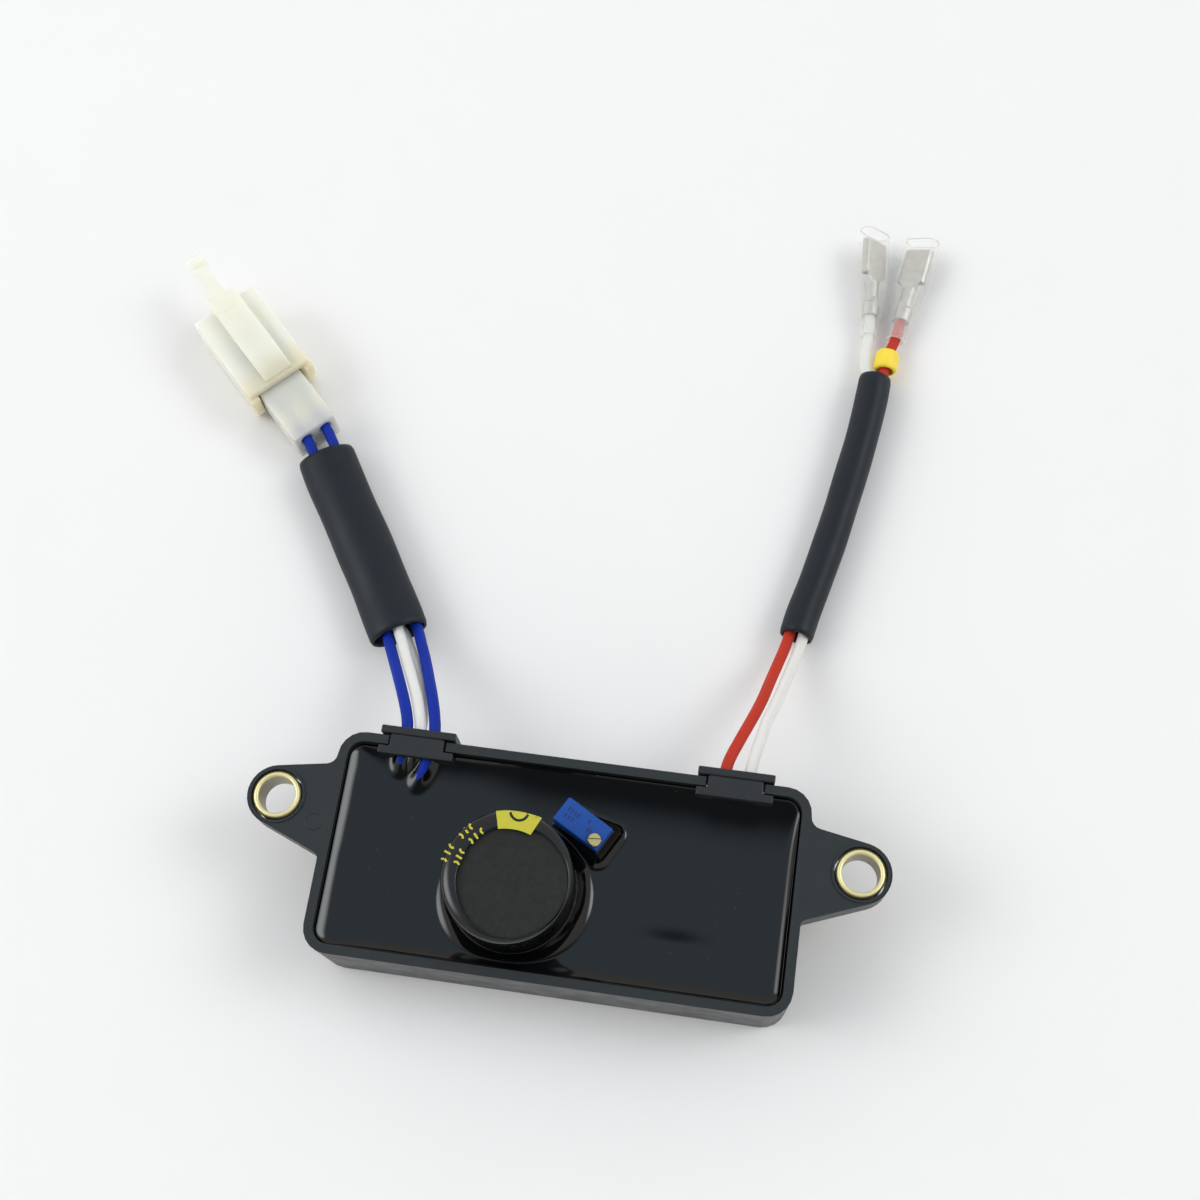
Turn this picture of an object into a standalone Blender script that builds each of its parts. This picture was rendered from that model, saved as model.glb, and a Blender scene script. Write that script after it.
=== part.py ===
"""Automatic voltage regulator of a small generator: a potted tray with two fixing ears and two groups of leads.

Metres, +Z up. The tray lies on its closed back, so its open potted side faces up. The origin is the centre of the
back face, +X runs from ear to ear and the leads leave towards +Y.
"""

import math

import bmesh
import bpy
from mathutils import Matrix, Vector

# Clearances
GAP = 0.0003
OVERLAP = 0.0004
PAST = 0.002

# Tray
TRAY_LENGTH = 0.0839
TRAY_WIDTH = 0.0392
TRAY_HEIGHT = 0.0190
WALL = 0.00165
FLOOR = 0.0018
CORNER_RADIUS = 0.0045
BACK_EDGE_RADIUS = 0.0008
RIM_EDGE = 0.0002

# Ears and their brass bushes
BOLT_REACH = 0.00925
BOLT_OFFSET = 0.0063
EAR_TIP_RADIUS = 0.00535
EAR_THICKNESS = 0.0055
EAR_UPPER_SLOPE = math.radians(9.8)
EAR_LOWER_SLOPE = math.radians(21.5)
EAR_UPPER_FILLET = 0.0020
EAR_LOWER_FILLET = 0.0012
BOSS_RADIUS = 0.0050
BOSS_RISE = 0.0003
BUSH_RADIUS = 0.0043
BUSH_BORE_RADIUS = 0.00325
BUSH_CHAMFER = 0.0002

# Wire clips, slid into notches in the far wall
CLIP_OFFSET = 0.0283
CLIP_FLANGE_WIDTH = 0.0135
CLIP_WEB_WIDTH = 0.0097
CLIP_OUTER_FLANGE = 0.0014
CLIP_INNER_FLANGE = 0.0015
CLIP_DEPTH = 0.0080
CLIP_RISE = 0.0006
CLIP_BRIDGE = 0.00125
CLIP_EDGE = 0.00025
WIRE_RADIUS = 0.00105
LEFT_WINDOW_WIDTH = 0.0080
LEFT_WINDOW_DEPTH = 0.0056
RIGHT_WINDOW_WIDTH = 0.0074
RIGHT_WINDOW_DEPTH = 0.0046

# Circuit board on its four posts
BOARD_CLEARANCE = 0.0022
BOARD_THICKNESS = 0.0016
POST_HEIGHT = 0.0053
BOARD_CORNER = 0.0015
POST_RADIUS = 0.0016
POST_INSET = 0.0030

# Parts on the board
LEAD_RADIUS = 0.0004
RECTIFIER_LENGTH = 0.0052
RECTIFIER_RADIUS = 0.00135
RECTIFIER_SPAN = 0.0090
RECTIFIER_PITCH = 0.0030
FLYBACK_LENGTH = 0.0080
FLYBACK_RADIUS = 0.0025
FLYBACK_SPAN = 0.0120
ZENER_LENGTH = 0.0040
ZENER_RADIUS = 0.0010
ZENER_SPAN = 0.0080
RESISTOR_LENGTH = 0.0062
RESISTOR_RADIUS = 0.0012
RESISTOR_SPAN = 0.0100
DROPPER_LENGTH = 0.0110
DROPPER_RADIUS = 0.0022
DROPPER_SPAN = 0.0150
FILM_LENGTH = 0.0104
FILM_WIDTH = 0.0050
FILM_HEIGHT = 0.0048
FILM_STANDOFF = 0.0006
FILM_LEG_PITCH = 0.0076
CONTROL_RADIUS = 0.0023
CONTROL_HEIGHT = 0.0045
CONTROL_STANDOFF = 0.0008
CONTROL_LEG_PITCH = 0.00127
CONTROL_LEG_RADIUS = 0.00025
TAB_LENGTH = 0.0156
TAB_WIDTH = 0.0100
TAB_THICKNESS = 0.0013
TAB_HOLE_RADIUS = 0.0018
TAB_HOLE_INSET = 0.0032
PACKAGE_LENGTH = 0.0091
PACKAGE_HEIGHT = 0.0044
PACKAGE_INSET = 0.0002
LEG_PITCH = 0.00254
LEG_WIDTH = 0.0008
LEG_THICKNESS = 0.0005
LEG_REACH = 0.0026
LEG_HEIGHT = 0.0024

# Potting compound
POTTING_RECESS = 0.0034
POTTING_CREEP = 0.0012
COLLAR_RISE = 0.0014
COLLAR_REACH = 0.0020
UNDER_BOARD_SPACE = 0.0012

# Filter capacitor
CAPACITOR_X = -0.0075
CAPACITOR_Y = -0.0040
CAN_RADIUS = 0.0104
CAN_HEIGHT = 0.0190
SLEEVE_SKIN = 0.0004
SHOULDER = 0.0011
TOP_DISC_THICKNESS = 0.0004
SLEEVE_MOUTH_RADIUS = 0.0093
SLEEVE_MOUTH_SHIFT = 0.0014
SLEEVE_MOUTH_TURN = math.radians(-38.0)

# Multi-turn trimmer
TRIMMER_X = 0.0030
TRIMMER_Y = 0.0082
TRIMMER_TURN = math.radians(-29.1)
TRIMMER_LENGTH = 0.00953
TRIMMER_WIDTH = 0.00483
TRIMMER_HEIGHT = 0.0100
TRIMMER_STANDOFF = 0.0008
TRIMMER_EDGE = 0.0002
SCREW_INSET = 0.0013
SCREW_STEM_RADIUS = 0.0006
SCREW_HEAD_RADIUS = 0.00115
SCREW_HEAD_HEIGHT = 0.0007
SCREW_DEPTH = 0.0030
SLOT_WIDTH = 0.0005
SLOT_DEPTH = 0.0004

# Soft sleeves round the leads
LEFT_SLEEVE_WIDTH = 0.0113
LEFT_SLEEVE_HEIGHT = 0.0082
RIGHT_SLEEVE_DIAMETER = 0.0064
SLEEVE_WALL = 0.00055

# Connector at the end of the left leads
CONNECTOR_X = -0.0860
CONNECTOR_Y = 0.1059
CONNECTOR_TURN = math.radians(44.7)
SHELL_WIDTH = 0.0143
SHELL_LENGTH = 0.0213
SHELL_HEIGHT = 0.0106
SHELL_BOTTOM_WALL = 0.0008
SHELL_EDGE = 0.0006
SHELL_REAR_CHAMFER = 0.0024
SHELL_EAR_REACH = 0.0010
SHELL_EAR_LENGTH = 0.0042
SHELL_EAR_PROUD = 0.0002
SHELL_EAR_BOTTOM = 0.0056
SHELL_EAR_TOP = 0.0094
SHELL_EAR_EDGE = 0.0005
LATCH_WIDTH = 0.0062
LATCH_SHIFT = 0.0005
LATCH_RISE = 0.0018
TONGUE_WIDTH = 0.0036
TONGUE_REACH = 0.0116
TONGUE_THICKNESS = 0.0013
TONGUE_TURN = math.radians(-3.5)
CATCH_RISE = 0.0006
PLUG_WIDTH = 0.0096
PLUG_HEIGHT = 0.0078
PLUG_SHIFT = -0.0002
PLUG_FRONT = 0.0090
PLUG_REAR = 0.0340
PLUG_EDGE = 0.0007
CELL_PITCH = 0.0044
CELL_ROW_PITCH = 0.0036
CELL_WIDTH = 0.0036
CELL_HEIGHT = 0.0026
CELL_REAR = 0.0265
CONTACT_BLADE_SLOT = 0.0006

# Spade terminals, their clear sleeves and the marker at the end of the right leads
TERMINAL_SHEET = 0.00035
TERMINAL_WIDTH = 0.00585
ROLL_RADIUS = 0.00075
RECEPTACLE_LENGTH = 0.0076
NECK_LENGTH = 0.0016
BARREL_LENGTH = 0.0045
BARREL_RADIUS = 0.00145
PLATE_DROP = 0.0010
CRIMP_LENGTH = 0.0028
CRIMP_WALL = 0.00035
CLEAR_SLEEVE_LENGTH = 0.0235
CLEAR_SLEEVE_WALL = 0.0004
CLEAR_SLEEVE_HALF_WIDTH = 0.0036
CLEAR_SLEEVE_HALF_HEIGHT = 0.0018
CLEAR_SLEEVE_EASE = 0.00035
CLEAR_SLEEVE_NARROWING = 0.0012
CLEAR_SLEEVE_OVERHANG = 0.0023
RED_TERMINAL_TIP = (0.0532, 0.1413, 0.00254)
RED_TERMINAL_TURN = math.radians(80.7 - 90.0)
RED_TERMINAL_PITCH = math.radians(0.0)
RED_TERMINAL_ROLL = math.radians(155.0)
WHITE_TERMINAL_TIP = (0.0430, 0.1420, 0.00315)
WHITE_TERMINAL_TURN = math.radians(92.9 - 90.0)
WHITE_TERMINAL_PITCH = math.radians(1.46)
WHITE_TERMINAL_ROLL = math.radians(220.0)
MARKER_RADIUS = 0.0024
MARKER_WALL = 0.0008

# Routes of the leads, from the board to their far end, chosen from the photograph
ROUTE_STEP = 0.0042
BLUE_WIRE_1 = [
    (-0.0313, 0.0122, 0.0094), (-0.0313, 0.0123, 0.0115), (-0.0313, 0.0133, 0.0138), (-0.0312, 0.0150, 0.0157),
    (-0.0311, 0.0170, 0.0167), (-0.0310, 0.0190, 0.0170), (-0.0309, 0.0213, 0.0170), (-0.0315, 0.0240, 0.0168),
    (-0.0330, 0.0276, 0.0155), (-0.0350, 0.0316, 0.0130), (-0.0373, 0.0360, 0.0100), (-0.0393, 0.0398, 0.0075),
    (-0.0405, 0.0422, 0.0062), (-0.0424, 0.0453, 0.0056), (-0.0470, 0.0531, 0.0054), (-0.0513, 0.0600, 0.0052),
    (-0.0555, 0.0665, 0.0051), (-0.0592, 0.0723, 0.0053), (-0.0617, 0.0768, 0.0060), (-0.0638, 0.0800, 0.0068),
    (-0.0666, 0.0829, 0.0068), (-0.0687, 0.0850, 0.0068),
]
BLUE_WIRE_2 = [
    (-0.0286, 0.0094, 0.0094), (-0.0286, 0.0096, 0.0112), (-0.0284, 0.0107, 0.0135), (-0.0276, 0.0128, 0.0155),
    (-0.0266, 0.0156, 0.0167), (-0.0260, 0.0185, 0.0170), (-0.0259, 0.0213, 0.0170), (-0.0264, 0.0240, 0.0167),
    (-0.0278, 0.0282, 0.0150), (-0.0296, 0.0325, 0.0124), (-0.0316, 0.0371, 0.0094), (-0.0336, 0.0413, 0.0070),
    (-0.0348, 0.0438, 0.0059), (-0.0375, 0.0483, 0.0052), (-0.0421, 0.0561, 0.0048), (-0.0468, 0.0628, 0.0048),
    (-0.0515, 0.0690, 0.0052), (-0.0555, 0.0746, 0.0056), (-0.0580, 0.0791, 0.0061), (-0.0607, 0.0831, 0.0068),
    (-0.0635, 0.0860, 0.0068), (-0.0656, 0.0881, 0.0068),
]
WHITE_WIRE_1 = [
    (-0.0292, 0.0139, 0.0094), (-0.0292, 0.0140, 0.0118), (-0.0291, 0.0147, 0.0142), (-0.0288, 0.0164, 0.0161),
    (-0.0285, 0.0188, 0.0169), (-0.0284, 0.0213, 0.0170), (-0.0291, 0.0240, 0.0169), (-0.0306, 0.0280, 0.0156),
    (-0.0327, 0.0322, 0.0132), (-0.0350, 0.0366, 0.0104), (-0.0370, 0.0406, 0.0082), (-0.0384, 0.0432, 0.0070),
    (-0.0401, 0.0467, 0.0061), (-0.0444, 0.0547, 0.0047), (-0.0476, 0.0599, 0.0036), (-0.0506, 0.0650, 0.0027),
    (-0.0547, 0.0716, 0.0026), (-0.0580, 0.0789, 0.0031), (-0.0607, 0.0831, 0.0032), (-0.0635, 0.0860, 0.0032),
    (-0.0656, 0.0881, 0.0032),
]
WHITE_WIRE_2 = [
    (-0.0250, 0.0136, 0.0094), (-0.0250, 0.0137, 0.0112), (-0.0254, 0.0146, 0.0132), (-0.0266, 0.0165, 0.01435),
    (-0.0281, 0.0189, 0.0146), (-0.0289, 0.0213, 0.0145), (-0.0291, 0.0242, 0.0142), (-0.0300, 0.0282, 0.0127),
    (-0.0316, 0.0326, 0.0102), (-0.0339, 0.0370, 0.0075), (-0.0362, 0.0410, 0.0052), (-0.0378, 0.0434, 0.0041),
    (-0.0406, 0.0464, 0.0034), (-0.0463, 0.0535, 0.0029), (-0.0506, 0.0604, 0.0027), (-0.0548, 0.0669, 0.0026),
    (-0.0585, 0.0727, 0.0027), (-0.0616, 0.0768, 0.0031), (-0.0638, 0.0800, 0.0032), (-0.0666, 0.0829, 0.0032),
    (-0.0687, 0.0850, 0.0032),
]
RED_WIRE = [
    (0.0263, 0.0136, 0.0094), (0.0263, 0.0137, 0.0115), (0.0263, 0.0146, 0.0139), (0.0263, 0.0163, 0.0158),
    (0.0263, 0.0187, 0.0168), (0.0263, 0.0213, 0.0170), (0.0267, 0.0236, 0.0169), (0.0281, 0.0276, 0.0160),
    (0.0297, 0.0321, 0.0139), (0.0312, 0.0369, 0.0110), (0.0324, 0.0419, 0.0080), (0.0336, 0.0466, 0.0058),
    (0.0346, 0.0506, 0.0044), (0.0359, 0.0574, 0.0037), (0.0378, 0.0639, 0.0040), (0.0403, 0.0718, 0.0044),
    (0.0426, 0.0794, 0.0042), (0.0443, 0.0866, 0.0038), (0.0459, 0.0949, 0.0033), (0.0469, 0.1028, 0.0032),
    (0.0476, 0.1087, 0.0031), (0.0480, 0.1129, 0.0026), (0.0486, 0.1156, 0.00254), (0.0494, 0.1181, 0.00254),
    (0.05013, 0.1225, 0.00254), (0.05061, 0.1254, 0.00254),
]
BRUSH_WHITE_WIRE = [
    (0.0306, 0.0136, 0.0094), (0.0306, 0.0137, 0.0115), (0.0306, 0.0146, 0.0139), (0.0306, 0.0163, 0.0158),
    (0.0306, 0.0187, 0.0168), (0.0306, 0.0213, 0.0170), (0.0309, 0.0240, 0.0169), (0.0317, 0.0281, 0.0160),
    (0.0326, 0.0325, 0.0139), (0.0340, 0.0373, 0.0110), (0.0352, 0.0422, 0.0080), (0.0364, 0.0470, 0.0056),
    (0.0373, 0.0510, 0.0042), (0.0383, 0.0570, 0.0032), (0.0396, 0.0635, 0.0024), (0.0407, 0.0718, 0.0020),
    (0.0414, 0.0796, 0.0021), (0.0423, 0.0870, 0.0026), (0.0435, 0.0953, 0.0031), (0.0445, 0.1031, 0.0032),
    (0.0448, 0.1082, 0.0031), (0.0440, 0.1115, 0.0029), (0.0440, 0.1150, 0.0027), (0.0442, 0.1185, 0.00255),
    (0.04396, 0.1230, 0.00267), (0.04382, 0.1257, 0.002735),
]
LEFT_SLEEVE_ROUTE = [
    (-0.0383, 0.0427, 0.0052), (-0.0412, 0.0476, 0.0049), (-0.0452, 0.0542, 0.0045), (-0.0495, 0.0611, 0.0043),
    (-0.0537, 0.0676, 0.0042), (-0.0574, 0.0734, 0.0043), (-0.0600, 0.0778, 0.0046),
]
RIGHT_SLEEVE_ROUTE = [
    (0.0362, 0.0524, 0.0036), (0.0371, 0.0572, 0.0034), (0.0387, 0.0637, 0.0033), (0.0405, 0.0718, 0.0033),
    (0.0420, 0.0795, 0.0033), (0.0433, 0.0868, 0.0033), (0.0447, 0.0951, 0.0033), (0.0457, 0.1029, 0.0033),
    (0.0462, 0.1087, 0.0033),
]
MARKER_ROUTE = [(0.04795, 0.1109, 0.00262), (0.04805, 0.1130, 0.00254), (0.0484, 0.1151, 0.00252)]

# Turns a flat outline of (y, z) points so that a prism of it runs along X, and one of (x, z) points along Y
LIE_ALONG_X = Matrix(((0, 0, 1, 0), (1, 0, 0, 0), (0, 1, 0, 0), (0, 0, 0, 1)))
LIE_ALONG_Y = Matrix(((1, 0, 0, 0), (0, 0, -1, 0), (0, 1, 0, 0), (0, 0, 0, 1)))

HALF_LENGTH = TRAY_LENGTH / 2
HALF_WIDTH = TRAY_WIDTH / 2
BOLT_SPACING = TRAY_LENGTH + 2 * BOLT_REACH
CLIP_BOTTOM = TRAY_HEIGHT - CLIP_DEPTH
POTTING_TOP = TRAY_HEIGHT - POTTING_RECESS
BOARD_LENGTH = TRAY_LENGTH - 2 * (WALL + BOARD_CLEARANCE)
BOARD_WIDTH = TRAY_WIDTH - 2 * (WALL + BOARD_CLEARANCE)
BOARD_BOTTOM = FLOOR + POST_HEIGHT + GAP
BOARD_TOP = BOARD_BOTTOM + BOARD_THICKNESS
PART_SEAT = BOARD_TOP + GAP
CLEAR_SLEEVE_TAIL_RADIUS = WIRE_RADIUS + CLEAR_SLEEVE_EASE + CLEAR_SLEEVE_WALL
CLEAR_SLEEVE_CRIMP_RADIUS = CLEAR_SLEEVE_TAIL_RADIUS + GAP + CRIMP_WALL


def clear_scene():
    for obj in list(bpy.data.objects):
        bpy.data.objects.remove(obj, do_unlink=True)


def collection(name):
    made = bpy.data.collections.new(name)
    bpy.context.scene.collection.children.link(made)
    return made


clear_scene()
PARTS = collection("automatic_voltage_regulator")
CUTTERS = collection("cutters")


def material(name, colour, roughness, metallic=0.0, alpha=1.0):
    made = bpy.data.materials.new(name)
    made.use_nodes = True
    shader = made.node_tree.nodes["Principled BSDF"]
    shader.inputs["Base Color"].default_value = (*colour, 1.0)
    shader.inputs["Roughness"].default_value = roughness
    shader.inputs["Metallic"].default_value = metallic
    shader.inputs["Alpha"].default_value = alpha
    return made


# Meshes, cutters and joins

def make_object(name, mesh, home):
    obj = bpy.data.objects.new(name, mesh)
    home.objects.link(obj)
    if home is CUTTERS:
        obj.hide_render = True
        obj.display_type = "WIRE"
    return obj


def object_from_bmesh(name, bm, home):
    mesh = bpy.data.meshes.new(name)
    bmesh.ops.recalc_face_normals(bm, faces=bm.faces)
    bm.to_mesh(mesh)
    bm.free()
    return make_object(name, mesh, home)


def finish(obj, surface):
    """Gives a part its material and shades its round sides smooth."""
    obj.data.materials.clear()
    obj.data.materials.append(surface)
    if obj.type == "MESH":
        obj.data.shade_smooth()
        obj.data.set_sharp_from_angle(angle=math.radians(35))
    return obj


def block(name, low, high, home=None):
    """A box from its lowest to its highest corner."""
    bm = bmesh.new()
    bmesh.ops.create_cube(bm, size=1.0)
    size = [b - a for a, b in zip(low, high)]
    centre = [(a + b) / 2 for a, b in zip(low, high)]
    bmesh.ops.scale(bm, vec=size, verts=bm.verts)
    bmesh.ops.translate(bm, vec=centre, verts=bm.verts)
    return object_from_bmesh(name, bm, home or CUTTERS)


def rod(name, radius, start, end, home=None, segments=24):
    """A cylinder between two points."""
    start, end = Vector(start), Vector(end)
    along = end - start
    bm = bmesh.new()
    sizes = {"radius1": radius, "radius2": radius, "depth": along.length}
    bmesh.ops.create_cone(bm, cap_ends=True, segments=segments, **sizes)
    turn = along.to_track_quat("Z", "Y").to_matrix().to_4x4()
    bmesh.ops.transform(bm, matrix=Matrix.Translation((start + end) / 2) @ turn, verts=bm.verts)
    return object_from_bmesh(name, bm, home or CUTTERS)


def mesh_of(obj, home):
    """Turns a curve object into a mesh object with welded caps."""
    bpy.context.view_layer.update()
    graph = bpy.context.evaluated_depsgraph_get()
    mesh = bpy.data.meshes.new_from_object(obj.evaluated_get(graph))
    name, place = obj.name, obj.matrix_world.copy()
    bpy.data.objects.remove(obj, do_unlink=True)
    bm = bmesh.new()
    bm.from_mesh(mesh)
    bmesh.ops.remove_doubles(bm, verts=bm.verts, dist=1e-6)
    bmesh.ops.recalc_face_normals(bm, faces=bm.faces)
    bm.to_mesh(mesh)
    bm.free()
    made = make_object(name, mesh, home)
    made.name = name
    made.matrix_world = place
    return made


def prism(name, loops, bottom, top, home=None, matrix=None):
    """A flat outline, with any holes as further loops, drawn up from bottom to top."""
    curve = bpy.data.curves.new(name, "CURVE")
    curve.dimensions = "2D"
    curve.fill_mode = "BOTH"
    curve.extrude = (top - bottom) / 2
    for loop in loops:
        spline = curve.splines.new("POLY")
        spline.points.add(len(loop) - 1)
        for point, (x, y) in zip(spline.points, loop):
            point.co = (x, y, 0.0, 1.0)
        spline.use_cyclic_u = True
    obj = make_object(name, curve, home or CUTTERS)
    obj.matrix_world = (matrix or Matrix()) @ Matrix.Translation((0, 0, (top + bottom) / 2))
    obj = mesh_of(obj, home or CUTTERS)
    bm = bmesh.new()
    bm.from_mesh(obj.data)
    bmesh.ops.dissolve_limit(bm, angle_limit=math.radians(0.5), verts=bm.verts, edges=bm.edges)
    bm.to_mesh(obj.data)
    bm.free()
    return obj


def turned(name, profile, home=None, steps=32, closed=False):
    """A profile of (radius, height) points turned about Z. It runs down its outer side."""
    mesh = bpy.data.meshes.new(name)
    edges = [(i, i + 1) for i in range(len(profile) - 1)]
    if closed:
        edges.append((len(profile) - 1, 0))
    mesh.from_pydata([(r, 0.0, z) for r, z in profile], edges, [])
    obj = make_object(name, mesh, home or CUTTERS)
    screw = obj.modifiers.new("turn", "SCREW")
    screw.steps = screw.render_steps = steps
    screw.use_merge_vertices = True
    screw.merge_threshold = 0.00001
    return obj


def join(target, other, operation="UNION"):
    step = target.modifiers.new(other.name, "BOOLEAN")
    step.operation = operation
    step.solver = "EXACT"
    step.object = other
    return target


def cut(target, cutter):
    return join(target, cutter, "DIFFERENCE")


def bevel(obj, width, segments=2, angle=math.radians(40)):
    step = obj.modifiers.new("edges", "BEVEL")
    step.width = width
    step.segments = segments
    step.limit_method = "ANGLE"
    step.angle_limit = angle
    return obj


def arc(centre, radius, start, end, steps):
    """Points on an arc, from the start to the end angle."""
    angles = [start + (end - start) * i / steps for i in range(steps + 1)]
    return [(centre[0] + radius * math.cos(a), centre[1] + radius * math.sin(a)) for a in angles]


def rounded_rectangle(length, width, radius, steps=5, centre=(0.0, 0.0)):
    x, y = length / 2 - radius, width / 2 - radius
    corners = [(x, y, 0.0), (-x, y, 90.0), (-x, -y, 180.0), (x, -y, 270.0)]
    points = []
    for cx, cy, start in corners:
        corner = (centre[0] + cx, centre[1] + cy)
        points += arc(corner, radius, math.radians(start), math.radians(start + 90), steps)
    return points


# Leads

def smooth_route(points, step):
    """Points at an even step along a smooth curve through the route's own points."""
    knots = [Vector(p) for p in points]
    times = [0.0]
    for a, b in zip(knots, knots[1:]):
        times.append(times[-1] + (b - a).length)
    slopes = []
    for i in range(len(knots)):
        a, b = max(i - 1, 0), min(i + 1, len(knots) - 1)
        slopes.append((knots[b] - knots[a]) / (times[b] - times[a]))
    count = max(3, round(times[-1] / step))
    found = []
    for k in range(count + 1):
        t = times[-1] * k / count
        i = min(max(j for j in range(len(times)) if times[j] <= t + 1e-12), len(knots) - 2)
        span = times[i + 1] - times[i]
        u = (t - times[i]) / span
        found.append(
            (2 * u**3 - 3 * u**2 + 1) * knots[i]
            + (u**3 - 2 * u**2 + u) * span * slopes[i]
            + (3 * u**2 - 2 * u**3) * knots[i + 1]
            + (u**3 - u**2) * span * slopes[i + 1]
        )
    return found


def tube(name, points, radius, home, caps=True, resolution=2):
    curve = bpy.data.curves.new(name, "CURVE")
    curve.dimensions = "3D"
    curve.bevel_depth = radius
    curve.bevel_resolution = resolution
    curve.use_fill_caps = caps
    spline = curve.splines.new("POLY")
    spline.points.add(len(points) - 1)
    for point, place in zip(spline.points, points):
        point.co = (*place, 1.0)
    return make_object(name, curve, home)


def wire(name, route, surface):
    obj = tube(name, smooth_route(route, ROUTE_STEP), WIRE_RADIUS, PARTS)
    obj.data.materials.append(surface)
    return obj


def wire_channel(name, route):
    """The room that a lead keeps in what it runs through."""
    points = [point for point in smooth_route(route, ROUTE_STEP) if point.y < HALF_WIDTH]
    points[0] = points[0] - Vector((0, 0, GAP))
    return mesh_of(tube(name, points, WIRE_RADIUS + GAP, CUTTERS), CUTTERS)


def hollow_sleeve(name, route, width, height, surface):
    """A soft tube round the leads, open at both ends and flattened to its height."""
    flat = height / width
    points = [Vector((p.x, p.y, p.z / flat)) for p in smooth_route(route, ROUTE_STEP)]
    obj = mesh_of(tube(name, points, width / 2, PARTS, caps=False, resolution=4), PARTS)
    obj.data.transform(Matrix.Diagonal((1, 1, flat, 1)))
    shell = obj.modifiers.new("wall", "SOLIDIFY")
    shell.thickness = SLEEVE_WALL
    shell.offset = -1
    return finish(obj, surface)


# Housing

def tray_outline(inset):
    """The tray's outline in plan, moved inwards by inset."""
    return rounded_rectangle(TRAY_LENGTH - 2 * inset, TRAY_WIDTH - 2 * inset, CORNER_RADIUS - inset)


def ear_outline(side):
    """One ear in plan: a round tip, two straight sides and a fillet to the wall at each."""
    wall_x = HALF_LENGTH
    hole = Vector((BOLT_SPACING / 2, BOLT_OFFSET))
    up, down = math.pi / 2 - EAR_UPPER_SLOPE, -math.pi / 2 + EAR_LOWER_SLOPE
    tip = arc(hole, EAR_TIP_RADIUS, down, up, 14)

    def meet_wall(tangent, slope, direction, fillet):
        """The fillet between a sloping side and the wall, run from the side to the wall."""
        at_wall = tangent[1] + direction * (tangent[0] - wall_x) * math.tan(slope)
        beyond = fillet / math.cos(slope) - fillet * math.tan(slope)
        centre = (wall_x + fillet, at_wall + direction * beyond)
        return arc(centre, fillet, -direction * (math.pi / 2 + slope), -direction * math.pi, 4)

    upper = meet_wall(tip[-1], EAR_UPPER_SLOPE, 1, EAR_UPPER_FILLET)
    lower = meet_wall(tip[0], EAR_LOWER_SLOPE, -1, EAR_LOWER_FILLET)
    inner_x = wall_x - WALL / 2
    points = tip + upper + [(inner_x, upper[-1][1]), (inner_x, lower[-1][1])] + lower[::-1]
    if side < 0:
        points = [(-x, y) for x, y in points][::-1]
    return points


def make_housing(surface):
    housing = prism("housing", [tray_outline(0.0)], 0.0, TRAY_HEIGHT, PARTS)
    back_edges(housing)
    for side, word in ((-1, "left"), (1, "right")):
        centre = (side * BOLT_SPACING / 2, BOLT_OFFSET)
        ear = prism(f"{word}_ear", [ear_outline(side)], TRAY_HEIGHT - EAR_THICKNESS, TRAY_HEIGHT)
        join(housing, ear)
        boss_foot = TRAY_HEIGHT - EAR_THICKNESS / 2
        boss_top = TRAY_HEIGHT + BOSS_RISE
        boss = rod(f"{word}_boss", BOSS_RADIUS, (*centre, boss_foot), (*centre, boss_top), segments=32)
        join(housing, boss)
    cut(housing, prism("tray_cavity", [tray_outline(WALL)], FLOOR, TRAY_HEIGHT + PAST))
    for sx in (-1, 1):
        for sy in (-1, 1):
            x = sx * (BOARD_LENGTH / 2 - POST_INSET)
            y = sy * (BOARD_WIDTH / 2 - POST_INSET)
            low, high = (x, y, FLOOR / 2), (x, y, BOARD_BOTTOM - GAP)
            post = rod(f"post_{sx}_{sy}", POST_RADIUS, low, high, segments=16)
            join(housing, post)
    for side, word in ((-1, "left"), (1, "right")):
        centre = (side * BOLT_SPACING / 2, BOLT_OFFSET)
        low, high = TRAY_HEIGHT - EAR_THICKNESS - PAST, TRAY_HEIGHT + PAST
        seat = rod(f"{word}_bush_seat", BUSH_RADIUS + GAP, (*centre, low), (*centre, high), segments=32)
        cut(housing, seat)
        half = CLIP_WEB_WIDTH / 2 + GAP
        x = side * CLIP_OFFSET
        notch = block(
            f"{word}_clip_notch",
            (x - half, HALF_WIDTH - WALL - GAP, CLIP_BOTTOM - GAP),
            (x + half, HALF_WIDTH + GAP, TRAY_HEIGHT + PAST),
        )
        cut(housing, notch)
    return finish(housing, surface)


def back_edges(housing):
    """Rounds the edges of the back face."""
    bm = bmesh.new()
    bm.from_mesh(housing.data)
    lowest = min((housing.matrix_world @ v.co).z for v in bm.verts)
    edges = [e for e in bm.edges if all((housing.matrix_world @ v.co).z < lowest + 1e-6 for v in e.verts)]
    rim = [e for e in edges if any(abs(f.normal.z) < 0.5 for f in e.link_faces)]
    bmesh.ops.bevel(bm, geom=rim, offset=BACK_EDGE_RADIUS, segments=2, profile=0.5, affect="EDGES")
    bm.to_mesh(housing.data)
    bm.free()


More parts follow.
